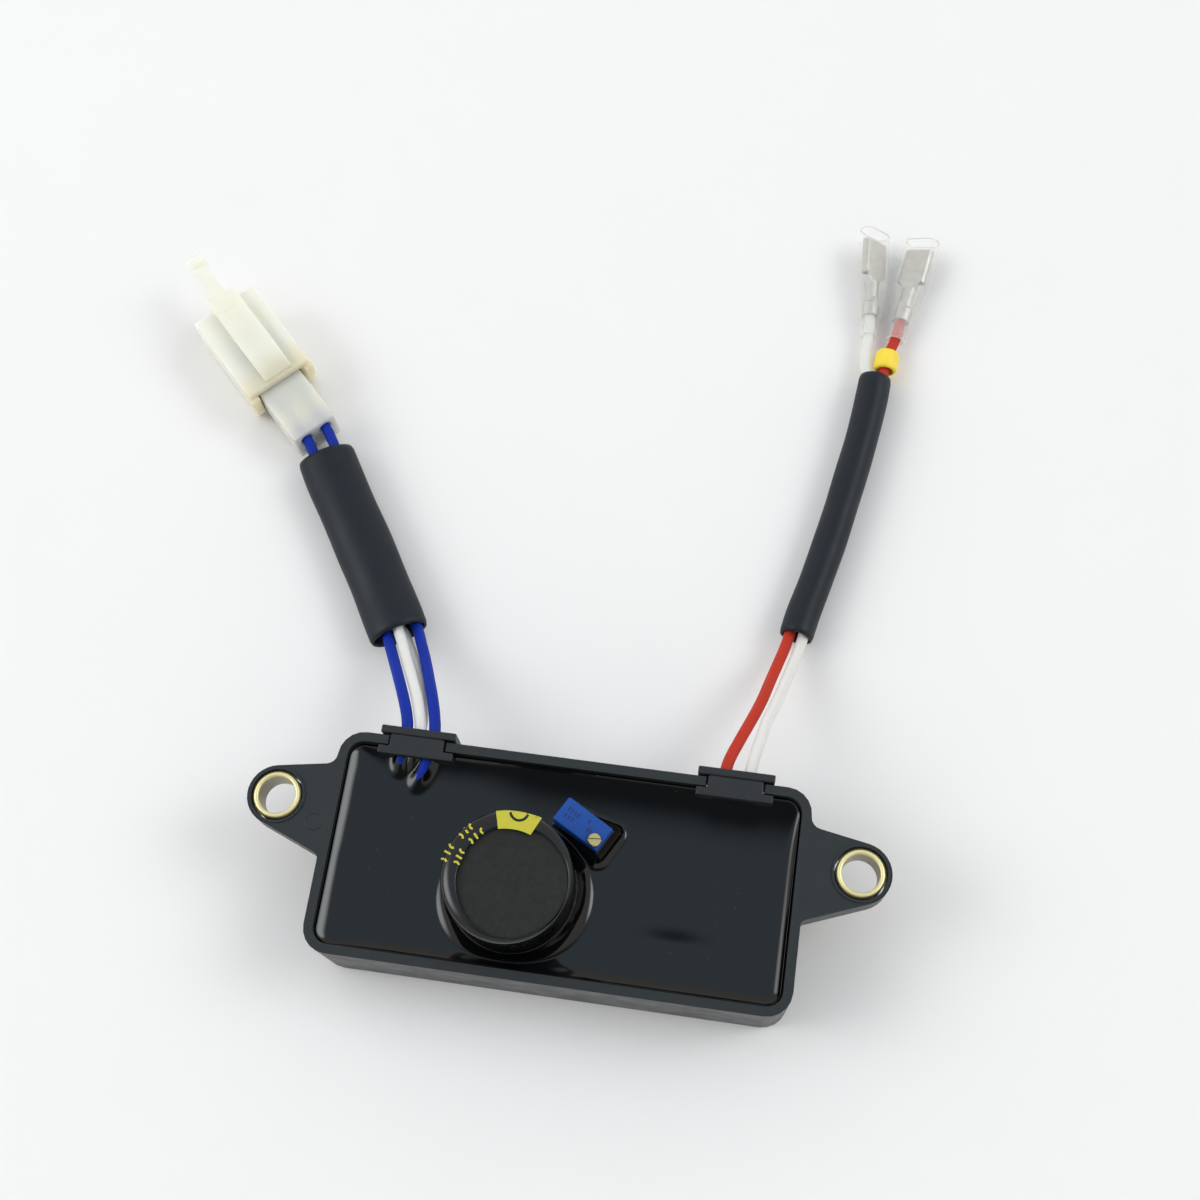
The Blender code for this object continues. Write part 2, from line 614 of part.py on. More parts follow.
def make_bush(name, side, surface):
    bottom, top = TRAY_HEIGHT - EAR_THICKNESS, TRAY_HEIGHT + BOSS_RISE
    c = BUSH_CHAMFER
    profile = [
        (BUSH_BORE_RADIUS + c, top), (BUSH_RADIUS - c, top), (BUSH_RADIUS, top - c), (BUSH_RADIUS, bottom + c),
        (BUSH_RADIUS - c, bottom), (BUSH_BORE_RADIUS + c, bottom), (BUSH_BORE_RADIUS, bottom + c),
        (BUSH_BORE_RADIUS, top - c),
    ]
    bush = turned(name, profile, PARTS, steps=36, closed=True)
    bush.location = (side * BOLT_SPACING / 2, BOLT_OFFSET, 0.0)
    return finish(bush, surface)


def clip_faces():
    """The clip's four faces across the wall, from the inside of the tray outwards."""
    wall_in = HALF_WIDTH - WALL - GAP
    wall_out = HALF_WIDTH + GAP
    return wall_in - CLIP_INNER_FLANGE, wall_in, wall_out, wall_out + CLIP_OUTER_FLANGE


def make_clip(name, side, window_width, window_depth, surface):
    """An H-shaped block that grips both faces of the wall, with one window for the leads.

    The web and the inner flange are one flat-topped plate, and a groove divides them from the outer flange.
    """
    y0, y1, y2, y3 = clip_faces()
    flange, web = CLIP_FLANGE_WIDTH / 2, CLIP_WEB_WIDTH / 2
    x, top = side * CLIP_OFFSET, TRAY_HEIGHT + CLIP_RISE
    clip = block(name, (x - flange, y2, CLIP_BOTTOM), (x + flange, y3, top), PARTS)
    stem = y2 - CLIP_EDGE / 2
    plan = [
        (x - flange, y0), (x + flange, y0), (x + flange, y1), (x + web, y1),
        (x + web, stem), (x - web, stem), (x - web, y1), (x - flange, y1),
    ]
    inner = prism(f"{name}_inner_plate", [plan], CLIP_BOTTOM, top)
    for plate in (clip, inner):
        bevel(plate, CLIP_EDGE)
    join(clip, inner)
    inset = CLIP_EDGE * 1.2
    low = (x - web + inset, y0 + OVERLAP, CLIP_BOTTOM + inset)
    high = (x + web - inset, y3 - OVERLAP, top - inset)
    join(clip, block(f"{name}_web", low, high))
    top = TRAY_HEIGHT + CLIP_RISE - CLIP_BRIDGE
    centre = (side * CLIP_OFFSET, top - window_depth / 2)
    window = rounded_rectangle(window_width, window_depth, WIRE_RADIUS, 4, centre)
    cut(clip, prism(f"{name}_window", [window], -y3 - PAST, -y0 + PAST, matrix=LIE_ALONG_Y))
    return finish(clip, surface)


# Board and what stands on it

def make_board(surface):
    board = prism(
        "circuit_board",
        [rounded_rectangle(BOARD_LENGTH, BOARD_WIDTH, BOARD_CORNER, 2)],
        BOARD_BOTTOM,
        BOARD_TOP,
        PARTS,
    )
    return finish(board, surface)


POCKETS = []


def pocket(name, low, high):
    """The room that a part on the board keeps in the compound. It opens into the room round the board."""
    grown_low = (low[0] - GAP, low[1] - GAP, BOARD_TOP)
    grown_high = (high[0] + GAP, high[1] + GAP, high[2] + GAP)
    POCKETS.append(block(f"{name}_pocket", grown_low, grown_high))


def axial_part(name, centre, length, radius, span, surface, along="X"):
    """A round part that lies above the board, with a lead bent down at each end."""
    height = PART_SEAT + radius + OVERLAP
    body_end, lead_end = length / 2, span / 2
    turn = Matrix.Rotation(0.0 if along == "X" else math.pi / 2, 4, "Z")
    place = Matrix.Translation((*centre, 0.0)) @ turn
    body = rod(name, radius, (-body_end, 0, height), (body_end, 0, height), PARTS, 12)
    body.matrix_world = place
    bend = min(0.0006, (lead_end - body_end) / 2)
    lead = [
        (-lead_end, 0, PART_SEAT), (-lead_end, 0, height - bend), (-lead_end + bend, 0, height),
        (lead_end - bend, 0, height), (lead_end, 0, height - bend), (lead_end, 0, PART_SEAT),
    ]
    leads = mesh_of(tube(f"{name}_lead", lead, LEAD_RADIUS, CUTTERS, resolution=1), CUTTERS)
    leads.matrix_world = place
    join(body, leads)
    reach = (lead_end + LEAD_RADIUS, radius) if along == "X" else (radius, lead_end + LEAD_RADIUS)
    pocket(
        name,
        (centre[0] - reach[0], centre[1] - reach[1], 0.0),
        (centre[0] + reach[0], centre[1] + reach[1], height + radius),
    )
    return finish(body, surface)


def legs(name, places, foot, top, radius):
    made = []
    for i, (x, y) in enumerate(places):
        made.append(rod(f"{name}_leg_{i}", radius, (x, y, foot), (x, y, top), segments=8))
    return made


def make_power_transistor(centre, surface):
    """A flat power transistor laid on the board, with its metal tab and three bent leads."""
    x, y = centre
    half_width, near, far = TAB_WIDTH / 2, y - TAB_LENGTH / 2, y + TAB_LENGTH / 2
    package_top = PART_SEAT + PACKAGE_HEIGHT
    low, high = (x - half_width, near, PART_SEAT), (x + half_width, far, PART_SEAT + TAB_THICKNESS)
    tab = block("power_transistor", low, high, PARTS)
    package = block(
        "transistor_package",
        (x - half_width + PACKAGE_INSET, near - PACKAGE_INSET / 2, PART_SEAT + TAB_THICKNESS * 0.8),
        (x + half_width - PACKAGE_INSET, near + PACKAGE_LENGTH, package_top),
    )
    join(tab, package)
    hole = (x, far - TAB_HOLE_INSET)
    cut(tab, rod("tab_hole", TAB_HOLE_RADIUS, (*hole, PART_SEAT - PAST), (*hole, PART_SEAT + PAST)))
    inner, outer = near + 2 * OVERLAP, near - LEG_REACH
    top = PART_SEAT + LEG_HEIGHT
    leg = [
        (inner, top), (outer, top), (outer, PART_SEAT), (outer + LEG_THICKNESS, PART_SEAT),
        (outer + LEG_THICKNESS, top - LEG_THICKNESS), (inner, top - LEG_THICKNESS),
    ]
    for i, step in enumerate((-LEG_PITCH, 0.0, LEG_PITCH)):
        left, right = x + step - LEG_WIDTH / 2, x + step + LEG_WIDTH / 2
        join(tab, prism(f"transistor_leg_{i}", [leg], left, right, matrix=LIE_ALONG_X))
    pocket("power_transistor", (x - half_width, outer, 0.0), (x + half_width, far, package_top))
    return finish(tab, surface)


def make_control_transistor(centre, surface):
    """A small three-legged transistor: a round body with one flat side."""
    x, y = centre
    outline = arc((0.0, 0.0), CONTROL_RADIUS, math.radians(-50), math.radians(230), 12)
    seat, radius = PART_SEAT + CONTROL_STANDOFF, CONTROL_RADIUS
    top = seat + CONTROL_HEIGHT
    body = prism("control_transistor", [outline], seat, top, PARTS, Matrix.Translation((x, y, 0.0)))
    places = [(x - CONTROL_LEG_PITCH, y), (x, y), (x + CONTROL_LEG_PITCH, y)]
    for leg in legs("control_transistor", places, PART_SEAT, seat + OVERLAP, CONTROL_LEG_RADIUS):
        join(body, leg)
    pocket("control_transistor", (x - radius, y - radius, 0.0), (x + radius, y + radius, top))
    return finish(body, surface)


def make_film_capacitor(centre, surface):
    x, y = centre
    seat = PART_SEAT + FILM_STANDOFF
    half_length, half_width = FILM_LENGTH / 2, FILM_WIDTH / 2
    low, high = (x - half_length, y - half_width, seat), (x + half_length, y + half_width, seat + FILM_HEIGHT)
    body = block("film_capacitor", low, high, PARTS)
    places = [(x - FILM_LEG_PITCH / 2, y), (x + FILM_LEG_PITCH / 2, y)]
    for leg in legs("film_capacitor", places, PART_SEAT, seat + OVERLAP, LEAD_RADIUS):
        join(body, leg)
    pocket("film_capacitor", low, high)
    return finish(body, surface)


def make_filter_capacitor(metal, skin, plate):
    """The upright can, the shrunk sleeve that laps over its top, and the disc under that lap."""
    foot = PART_SEAT
    top = foot + CAN_HEIGHT
    can_profile = [
        (0.0, top), (CAN_RADIUS - SHOULDER, top), (CAN_RADIUS, top - SHOULDER), (CAN_RADIUS, foot), (0.0, foot),
    ]
    can = turned("capacitor_can", can_profile, PARTS, steps=36)
    disc_foot = top + GAP
    disc_top = disc_foot + TOP_DISC_THICKNESS
    disc_radius = CAN_RADIUS - SHOULDER / 2
    disc = turned(
        "capacitor_top_disc",
        [(0.0, disc_top), (disc_radius, disc_top), (disc_radius, disc_foot), (0.0, disc_foot)],
        PARTS,
        steps=36,
    )
    inner = CAN_RADIUS + GAP
    outer = inner + SLEEVE_SKIN
    under = disc_top + GAP
    crown = under + SLEEVE_SKIN
    shoulder = arc((outer - SHOULDER, crown - SHOULDER), SHOULDER, math.pi / 2, 0.0, 3)
    lap = inner - SHOULDER * 0.6
    profile = [(0.0, crown)] + shoulder + [
        (outer, foot), (inner, foot), (inner, under - SHOULDER * 0.6), (lap, under), (0.0, under),
    ]
    sleeve = turned("capacitor_sleeve", profile, PARTS, steps=36)
    mouth_x = SLEEVE_MOUTH_SHIFT * math.cos(SLEEVE_MOUTH_TURN)
    mouth_y = SLEEVE_MOUTH_SHIFT * math.sin(SLEEVE_MOUTH_TURN)
    mouth = rod(
        "sleeve_mouth",
        SLEEVE_MOUTH_RADIUS,
        (CAPACITOR_X + mouth_x, CAPACITOR_Y + mouth_y, under - GAP),
        (CAPACITOR_X + mouth_x, CAPACITOR_Y + mouth_y, crown + PAST),
        segments=36,
    )
    cut(sleeve, mouth)
    for obj, surface in ((can, metal), (disc, plate), (sleeve, skin)):
        obj.location = (CAPACITOR_X, CAPACITOR_Y, 0.0)
        finish(obj, surface)


def trimmer_place():
    return Matrix.Translation((TRIMMER_X, TRIMMER_Y, 0.0)) @ Matrix.Rotation(TRIMMER_TURN, 4, "Z")


def screw_place():
    """The screw's centre in the trimmer's own frame."""
    return TRIMMER_LENGTH / 2 - SCREW_INSET, -TRIMMER_WIDTH / 2 + SCREW_INSET


def trimmer_top():
    return PART_SEAT + TRIMMER_STANDOFF + TRIMMER_HEIGHT


def make_trimmer(plastic, brass):
    """A multi-turn trimmer: a block on small feet and pins, with a slotted screw in a bore at one corner."""
    place = trimmer_place()
    half_x, half_y = TRIMMER_LENGTH / 2, TRIMMER_WIDTH / 2
    seat, top = PART_SEAT + TRIMMER_STANDOFF, trimmer_top()
    body = block("trimmer_body", (-half_x, -half_y, seat), (half_x, half_y, top), PARTS)
    body.matrix_world = place
    body.data.materials.append(plastic)
    bevel(body, TRIMMER_EDGE, segments=1)
    for i, x in enumerate((-0.00254, 0.0, 0.00254)):
        pin = rod(f"trimmer_pin_{i}", 0.0003, (x, 0.0, PART_SEAT), (x, 0.0, seat + OVERLAP), segments=8)
        pin.matrix_world = place
        join(body, pin)
    sx, sy = screw_place()
    bore = rod("screw_bore", SCREW_STEM_RADIUS + GAP, (sx, sy, top - SCREW_DEPTH - GAP), (sx, sy, top + PAST))
    bore.matrix_world = place
    cut(body, bore)
    finish(body, plastic)

    head_foot = GAP
    head_top = head_foot + SCREW_HEAD_HEIGHT
    edge = SCREW_HEAD_HEIGHT / 5
    screw = turned(
        "trimmer_screw",
        [
            (0.0, head_top), (SCREW_HEAD_RADIUS - edge, head_top), (SCREW_HEAD_RADIUS, head_top - edge),
            (SCREW_HEAD_RADIUS, head_foot), (SCREW_STEM_RADIUS, head_foot), (SCREW_STEM_RADIUS, -SCREW_DEPTH),
            (0.0, -SCREW_DEPTH),
        ],
        PARTS,
        steps=24,
    )
    axis = place @ Vector((sx, sy, top))
    slot = block(
        "screw_slot",
        (-SCREW_HEAD_RADIUS - PAST, -SLOT_WIDTH / 2, head_top - SLOT_DEPTH),
        (SCREW_HEAD_RADIUS + PAST, SLOT_WIDTH / 2, head_top + PAST),
    )
    for obj in (screw, slot):
        obj.location = axis
    slot.rotation_euler.z = screw.rotation_euler.z = TRIMMER_TURN + math.radians(35)
    cut(screw, slot)
    finish(screw, brass)


# Potting compound

def make_potting(surface):
    """The compound that fills the tray, with the room that each part in it keeps."""
    edge = WALL + GAP
    potting = prism("potting", [tray_outline(edge)], FLOOR + GAP, POTTING_TOP + POTTING_CREEP, PARTS)
    level = prism("potting_level", [tray_outline(edge + GAP / 2)], POTTING_TOP, TRAY_HEIGHT + PAST)
    level_edges(level)
    cut(potting, level)
    can_room = CAN_RADIUS + GAP + SLEEVE_SKIN + GAP
    foot = POTTING_TOP - OVERLAP
    outer = []
    for u in (0.08, 0.25, 0.45, 0.7):
        outer.append((can_room + COLLAR_REACH * u, POTTING_TOP + COLLAR_RISE * (1 - u) ** 2))
    outer.append((can_room + COLLAR_REACH, foot))
    inner_radius = can_room - 2 * OVERLAP
    profile = [(inner_radius, outer[0][1])] + outer + [(inner_radius, foot)]
    collar = turned("can_collar", profile, steps=36, closed=True)
    collar.location = (CAPACITOR_X, CAPACITOR_Y, 0.0)
    join(potting, collar)
    place = trimmer_place()
    half_x, half_y = TRIMMER_LENGTH / 2 + GAP, TRIMMER_WIDTH / 2 + GAP
    mound = frustum(
        "trimmer_collar",
        (half_x + COLLAR_REACH * 0.7, half_y + COLLAR_REACH * 0.7),
        (half_x + OVERLAP, half_y + OVERLAP),
        foot,
        POTTING_TOP + COLLAR_RISE,
    )
    mound.matrix_world = place
    join(potting, mound)

    room = BOARD_BOTTOM - UNDER_BOARD_SPACE
    half_board = (BOARD_LENGTH / 2 + GAP, BOARD_WIDTH / 2 + GAP)
    cutters = [block("board_room", (-half_board[0], -half_board[1], room), (*half_board, BOARD_TOP + GAP))]
    low = (CAPACITOR_X, CAPACITOR_Y, BOARD_TOP)
    high = (CAPACITOR_X, CAPACITOR_Y, TRAY_HEIGHT + PAST)
    cutters.append(rod("can_room", can_room, low, high, segments=40))
    trimmer_room = block("trimmer_room", (-half_x, -half_y, BOARD_TOP), (half_x, half_y, TRAY_HEIGHT + PAST))
    trimmer_room.matrix_world = place
    cutters.append(trimmer_room)
    y0 = clip_faces()[0]
    for side, word in ((-1, "left"), (1, "right")):
        half, x = CLIP_FLANGE_WIDTH / 2 + GAP, side * CLIP_OFFSET
        low = (x - half, y0 - GAP, CLIP_BOTTOM - GAP)
        cutters.append(block(f"{word}_clip_room", low, (x + half, HALF_WIDTH + PAST, TRAY_HEIGHT + PAST)))
    for sx in (-1, 1):
        for sy in (-1, 1):
            x = sx * (BOARD_LENGTH / 2 - POST_INSET)
            y = sy * (BOARD_WIDTH / 2 - POST_INSET)
            low, high = (x, y, FLOOR / 2), (x, y, BOARD_BOTTOM)
            cutters.append(rod(f"post_room_{sx}_{sy}", POST_RADIUS + GAP, low, high, segments=16))
    cutters += POCKETS
    for name, route in LEADS.items():
        cutters.append(wire_channel(f"{name}_channel", route))
    for cutter in cutters:
        cut(potting, cutter)
    return finish(potting, surface)


def level_edges(level):
    """Rounds the lower edge of the cutter, so that the compound creeps up the walls."""
    bm = bmesh.new()
    bm.from_mesh(level.data)
    lowest = min(v.co.z for v in bm.verts)
    edges = [e for e in bm.edges if all(v.co.z < lowest + 1e-6 for v in e.verts)]
    rim = [e for e in edges if any(abs(f.normal.z) < 0.5 for f in e.link_faces)]
    bmesh.ops.bevel(bm, geom=rim, offset=POTTING_CREEP * 0.9, segments=3, profile=0.5, affect="EDGES")
    bm.to_mesh(level.data)
    bm.free()


def frustum(name, foot_half, top_half, bottom, top):
    """A block whose top is smaller than its foot."""
    obj = block(name, (-foot_half[0], -foot_half[1], bottom), (foot_half[0], foot_half[1], top))
    for vertex in obj.data.vertices:
        if vertex.co.z > (bottom + top) / 2:
            vertex.co.x = math.copysign(top_half[0], vertex.co.x)
            vertex.co.y = math.copysign(top_half[1], vertex.co.y)
    return obj


# Connector

def connector_place():
    return Matrix.Translation((CONNECTOR_X, CONNECTOR_Y, 0.0)) @ Matrix.Rotation(CONNECTOR_TURN, 4, "Z")


def plug_middle():
    return SHELL_BOTTOM_WALL + GAP + PLUG_HEIGHT / 2


def make_connector_shell(surface):
    """The shell, with its socket right through, the ears that hold the plug and the latch with its tongue."""
    place = connector_place()
    half = SHELL_WIDTH / 2
    shell = block("connector_shell", (-half, -SHELL_LENGTH, 0.0), (half, 0.0, SHELL_HEIGHT), PARTS)
    shell.data.materials.append(surface)
    bevel(shell, SHELL_EDGE)
    chamfer, rear = SHELL_REAR_CHAMFER, -SHELL_LENGTH
    under = [(rear + chamfer * 1.4, -PAST), (rear - PAST, -PAST), (rear - PAST, chamfer), (rear, chamfer)]
    wedge = prism("shell_rear_chamfer", [under], -half - PAST, half + PAST, matrix=LIE_ALONG_X)
    wedge.matrix_world = place @ wedge.matrix_world
    cut(shell, wedge)
    pieces = []
    ear_in = PLUG_WIDTH / 2 + GAP + abs(PLUG_SHIFT)
    for side in (-1, 1):
        xs = sorted((side * ear_in, side * (half + SHELL_EAR_PROUD)))
        low = (xs[0], rear - SHELL_EAR_REACH, SHELL_EAR_BOTTOM)
        high = (xs[1], rear - SHELL_EAR_REACH + SHELL_EAR_LENGTH, SHELL_EAR_TOP)
        pieces.append(block(f"shell_ear_{side}", low, high))
        bevel(pieces[-1], SHELL_EAR_EDGE)
    latch_top = SHELL_HEIGHT + LATCH_RISE
    foot = SHELL_HEIGHT - OVERLAP
    latch = [
        (0.0012, foot), (0.0012, latch_top - 0.0003), (0.0009, latch_top), (-SHELL_LENGTH * 0.76, latch_top),
        (-SHELL_LENGTH * 0.96, SHELL_HEIGHT + OVERLAP), (-SHELL_LENGTH * 0.96, foot),
    ]
    left, right = LATCH_SHIFT - LATCH_WIDTH / 2, LATCH_SHIFT + LATCH_WIDTH / 2
    pieces.append(prism("latch_block", [latch], left, right, matrix=LIE_ALONG_X))
    under = latch_top - TONGUE_THICKNESS
    tip, catch_top = TONGUE_REACH, latch_top + CATCH_RISE
    tongue = [
        (-0.0030, under), (tip, under), (tip, latch_top), (tip - 0.0006, catch_top), (tip - 0.0020, catch_top),
        (tip - 0.0028, latch_top + 0.0001), (-0.0030, latch_top + 0.0001),
    ]
    arm = prism("latch_tongue", [tongue], -TONGUE_WIDTH / 2, TONGUE_WIDTH / 2, matrix=LIE_ALONG_X)
    arm.matrix_world = Matrix.Rotation(TONGUE_TURN, 4, "Z") @ arm.matrix_world
    pieces.append(arm)
    for piece in pieces:
        piece.matrix_world = place @ piece.matrix_world
        join(shell, piece)
    middle = plug_middle()
    reach = (PLUG_WIDTH / 2 + GAP, PLUG_HEIGHT / 2 + GAP)
    socket = block(
        "shell_socket",
        (PLUG_SHIFT - reach[0], -SHELL_LENGTH - SHELL_EAR_REACH - PAST, middle - reach[1]),
        (PLUG_SHIFT + reach[0], PAST, middle + reach[1]),
    )
    socket.matrix_world = place
    cut(shell, socket)
    shell.matrix_world = place
    return finish(shell, surface)


def cells():
    """Each of the plug's four cells: its place across and its height."""
    for row, z in (("upper", CELL_ROW_PITCH / 2), ("lower", -CELL_ROW_PITCH / 2)):
        for side, x in (("left", -CELL_PITCH / 2), ("right", CELL_PITCH / 2)):
            yield f"{row}_{side}", PLUG_SHIFT + x, plug_middle() + z


def make_connector_plug(surface):
    place = connector_place()
    middle = plug_middle()
    plug = block(
        "connector_plug",
        (PLUG_SHIFT - PLUG_WIDTH / 2, -PLUG_REAR, middle - PLUG_HEIGHT / 2),
        (PLUG_SHIFT + PLUG_WIDTH / 2, -PLUG_FRONT, middle + PLUG_HEIGHT / 2),
        PARTS,
    )
    plug.data.materials.append(surface)
    bevel(plug, PLUG_EDGE)
    for name, x, z in cells():
        cell = block(
            f"cell_{name}",
            (x - CELL_WIDTH / 2, -CELL_REAR, z - CELL_HEIGHT / 2),
            (x + CELL_WIDTH / 2, -PLUG_FRONT + PAST, z + CELL_HEIGHT / 2),
        )
        outside, inside = (x, -PLUG_REAR - PAST, z), (x, -CELL_REAR + OVERLAP, z)
        entry = rod(f"entry_{name}", WIRE_RADIUS + GAP, outside, inside, segments=16)
        for cutter in (cell, entry):
            cutter.matrix_world = place
            cut(plug, cutter)
    plug.matrix_world = place
    return finish(plug, surface)


def make_contacts(surface):
    """The metal contacts that the wires end in, one in each cell of the plug."""
    place = connector_place()
    half_width, half_height = CELL_WIDTH / 2 - GAP, CELL_HEIGHT / 2 - GAP
    rear, front = -CELL_REAR + GAP, -PLUG_FRONT - 2 * GAP
    for name, x, z in cells():
        low, high = (x - half_width, rear, z - half_height), (x + half_width, front, z + half_height)
        contact = block(f"contact_{name}", low, high, PARTS)
        tail_end, tail_root = (x, rear - GAP * 0.5, z), (x, rear + OVERLAP, z)
        tail = rod(f"tail_{name}", WIRE_RADIUS * 0.8, tail_end, tail_root, segments=12)
        sheet = TERMINAL_SHEET
        slot = block(
            f"blade_slot_{name}",
            (x - half_width + sheet, front - (front - rear) / 2, z - CONTACT_BLADE_SLOT / 2),
            (x + half_width - sheet, front + PAST, z + CONTACT_BLADE_SLOT / 2),
        )
        for obj in (tail, slot):
            obj.matrix_world = place
        join(contact, tail)
        cut(contact, slot)
        contact.matrix_world = place
        finish(contact, surface)


# Spade terminals

def terminal_places():
    """Where each terminal lies. Its own Y runs out along the wire, from the tip of the clear sleeve."""
    red = (RED_TERMINAL_TIP, RED_TERMINAL_TURN, RED_TERMINAL_PITCH, RED_TERMINAL_ROLL)
    white = (WHITE_TERMINAL_TIP, WHITE_TERMINAL_TURN, WHITE_TERMINAL_PITCH, WHITE_TERMINAL_ROLL)
    places = {}
    for word, (tip, turn, pitch, roll) in (("red", red), ("white", white)):
        aim = Matrix.Rotation(turn, 4, "Z") @ Matrix.Rotation(pitch, 4, "X")
        places[word] = Matrix.Translation(tip) @ aim @ Matrix.Rotation(roll, 4, "Y")
    return places


def rolled_section():
    """The receptacle's section: a flat plate whose two edges roll over, as (x, z) about the wire's axis."""
    half_width = TERMINAL_WIDTH / 2 - TERMINAL_SHEET / 2
    roll = (half_width - ROLL_RADIUS, -PLATE_DROP + ROLL_RADIUS)
    start, end = math.radians(-90), math.radians(195)

    def side(offset):
        """Half of the sheet's face, from the middle of the plate to the lip."""
        return arc(roll, ROLL_RADIUS + offset, start, end, 9)

    outer, inner = side(TERMINAL_SHEET / 2), side(-TERMINAL_SHEET / 2)
    right = outer + inner[::-1]
    left = [(-x, z) for x, z in reversed(right)]
    return right + left


def make_spade_terminal(name, place, surface):
    """A female spade terminal: a rolled receptacle, a neck, a wire barrel and an open crimp on the insulation."""
    front = -CLEAR_SLEEVE_OVERHANG
    rear = front - RECEPTACLE_LENGTH
    terminal = prism(name, [rolled_section()], -front, -rear, PARTS, place @ LIE_ALONG_Y)
    barrel_front = rear - NECK_LENGTH
    barrel_rear = barrel_front - BARREL_LENGTH
    sheet = TERMINAL_SHEET / 2 + GAP / 6
    wide, narrow = TERMINAL_WIDTH / 2 - ROLL_RADIUS, BARREL_RADIUS * 0.7
    neck = [
        (-wide, rear + OVERLAP), (-wide, rear - OVERLAP / 2), (-narrow, barrel_front),
        (-narrow, barrel_front - OVERLAP), (narrow, barrel_front - OVERLAP), (narrow, barrel_front),
        (wide, rear - OVERLAP / 2), (wide, rear + OVERLAP),
    ]
    pieces = [prism(f"{name}_neck", [neck], -PLATE_DROP - sheet, -PLATE_DROP + sheet)]
    pieces.append(rod(f"{name}_barrel", BARREL_RADIUS, (0, barrel_front, 0), (0, barrel_rear, 0), segments=16))
    crimp_front = barrel_rear - GAP
    crimp_in = WIRE_RADIUS + GAP
    crimp_out = crimp_in + CRIMP_WALL
    opening = math.radians(28)
    ring = arc((0, 0), crimp_out, math.pi / 2 + opening, 5 * math.pi / 2 - opening, 12)
    ring += arc((0, 0), crimp_in, 5 * math.pi / 2 - opening, math.pi / 2 + opening, 12)
    pieces.append(prism(f"{name}_crimp", [ring], -crimp_front, -crimp_front + CRIMP_LENGTH, matrix=LIE_ALONG_Y))
    bridge_top = -crimp_in - GAP / 5
    pieces.append(
        block(
            f"{name}_bridge",
            (-0.0007, crimp_front - 2 * OVERLAP, -crimp_out + GAP / 10),
            (0.0007, barrel_rear + 2 * OVERLAP, bridge_top),
        )
    )
    for piece in pieces:
        piece.matrix_world = place @ piece.matrix_world
        join(terminal, piece)
    return finish(terminal, surface)


def stadium_point(angle, half_width, half_height):
    """A point on a flattened tube's section, in the direction of an angle about its centre."""
    radius = min(half_width, half_height)
    flat = half_width - radius
    x, z = math.cos(angle) * radius, math.sin(angle) * radius
    return x + math.copysign(flat, x) * min(1.0, abs(x) / radius * 3.0), z


def make_clear_sleeve(name, place, surface):
    """A clear tube, flat over the receptacle and round over the wire, open at both ends."""
    half_width, half_height = CLEAR_SLEEVE_HALF_WIDTH, CLEAR_SLEEVE_HALF_HEIGHT
    over_crimp, tail = CLEAR_SLEEVE_CRIMP_RADIUS, CLEAR_SLEEVE_TAIL_RADIUS
    receptacle_rear = -CLEAR_SLEEVE_OVERHANG - RECEPTACLE_LENGTH
    barrel_front = receptacle_rear - NECK_LENGTH
    barrel_rear = barrel_front - BARREL_LENGTH
    crimp_rear = barrel_rear - GAP - CRIMP_LENGTH - GAP
    stations = [
        (0.0, half_width, half_height),
        (receptacle_rear, half_width, half_height),
        (barrel_front, half_width * 0.95, half_height * 1.20),
        (barrel_rear, half_width * 0.82, half_height * 1.28),
        (crimp_rear, over_crimp, over_crimp),
        (crimp_rear - CLEAR_SLEEVE_NARROWING, tail, tail),
        (-CLEAR_SLEEVE_LENGTH, tail, tail),
    ]
    plate_centre = -PLATE_DROP + ROLL_RADIUS
    sides = 20
    bm = bmesh.new()
    rings = []
    for y, half_width, half_height in stations:
        flatness = (half_width - half_height) / (CLEAR_SLEEVE_HALF_WIDTH - CLEAR_SLEEVE_HALF_HEIGHT)
        ring = []
        for i in range(sides):
            x, z = stadium_point(2 * math.pi * i / sides, half_width, half_height)
            ring.append(bm.verts.new((x, y, z + plate_centre * max(0.0, flatness))))
        rings.append(ring)
    for near, far in zip(rings, rings[1:]):
        for i in range(sides):
            j = (i + 1) % sides
            bm.faces.new((near[i], near[j], far[j], far[i]))
    obj = object_from_bmesh(name, bm, PARTS)
    obj.matrix_world = place
    shell = obj.modifiers.new("wall", "SOLIDIFY")
    shell.thickness = CLEAR_SLEEVE_WALL
    shell.offset = -1
    return finish(obj, surface)


def make_marker(surface):
    """The short ring that marks the red wire."""
    points = [Vector(p) for p in MARKER_ROUTE]
    marker = mesh_of(tube("wire_marker", points, MARKER_RADIUS, PARTS, caps=False, resolution=4), PARTS)
    shell = marker.modifiers.new("wall", "SOLIDIFY")
    shell.thickness = MARKER_WALL
    shell.offset = -1
    return finish(marker, surface)


LEADS = {
    "blue_wire_1": BLUE_WIRE_1,
    "blue_wire_2": BLUE_WIRE_2,
    "white_wire_1": WHITE_WIRE_1,
    "white_wire_2": WHITE_WIRE_2,
    "red_wire": RED_WIRE,
    "brush_white_wire": BRUSH_WHITE_WIRE,
}


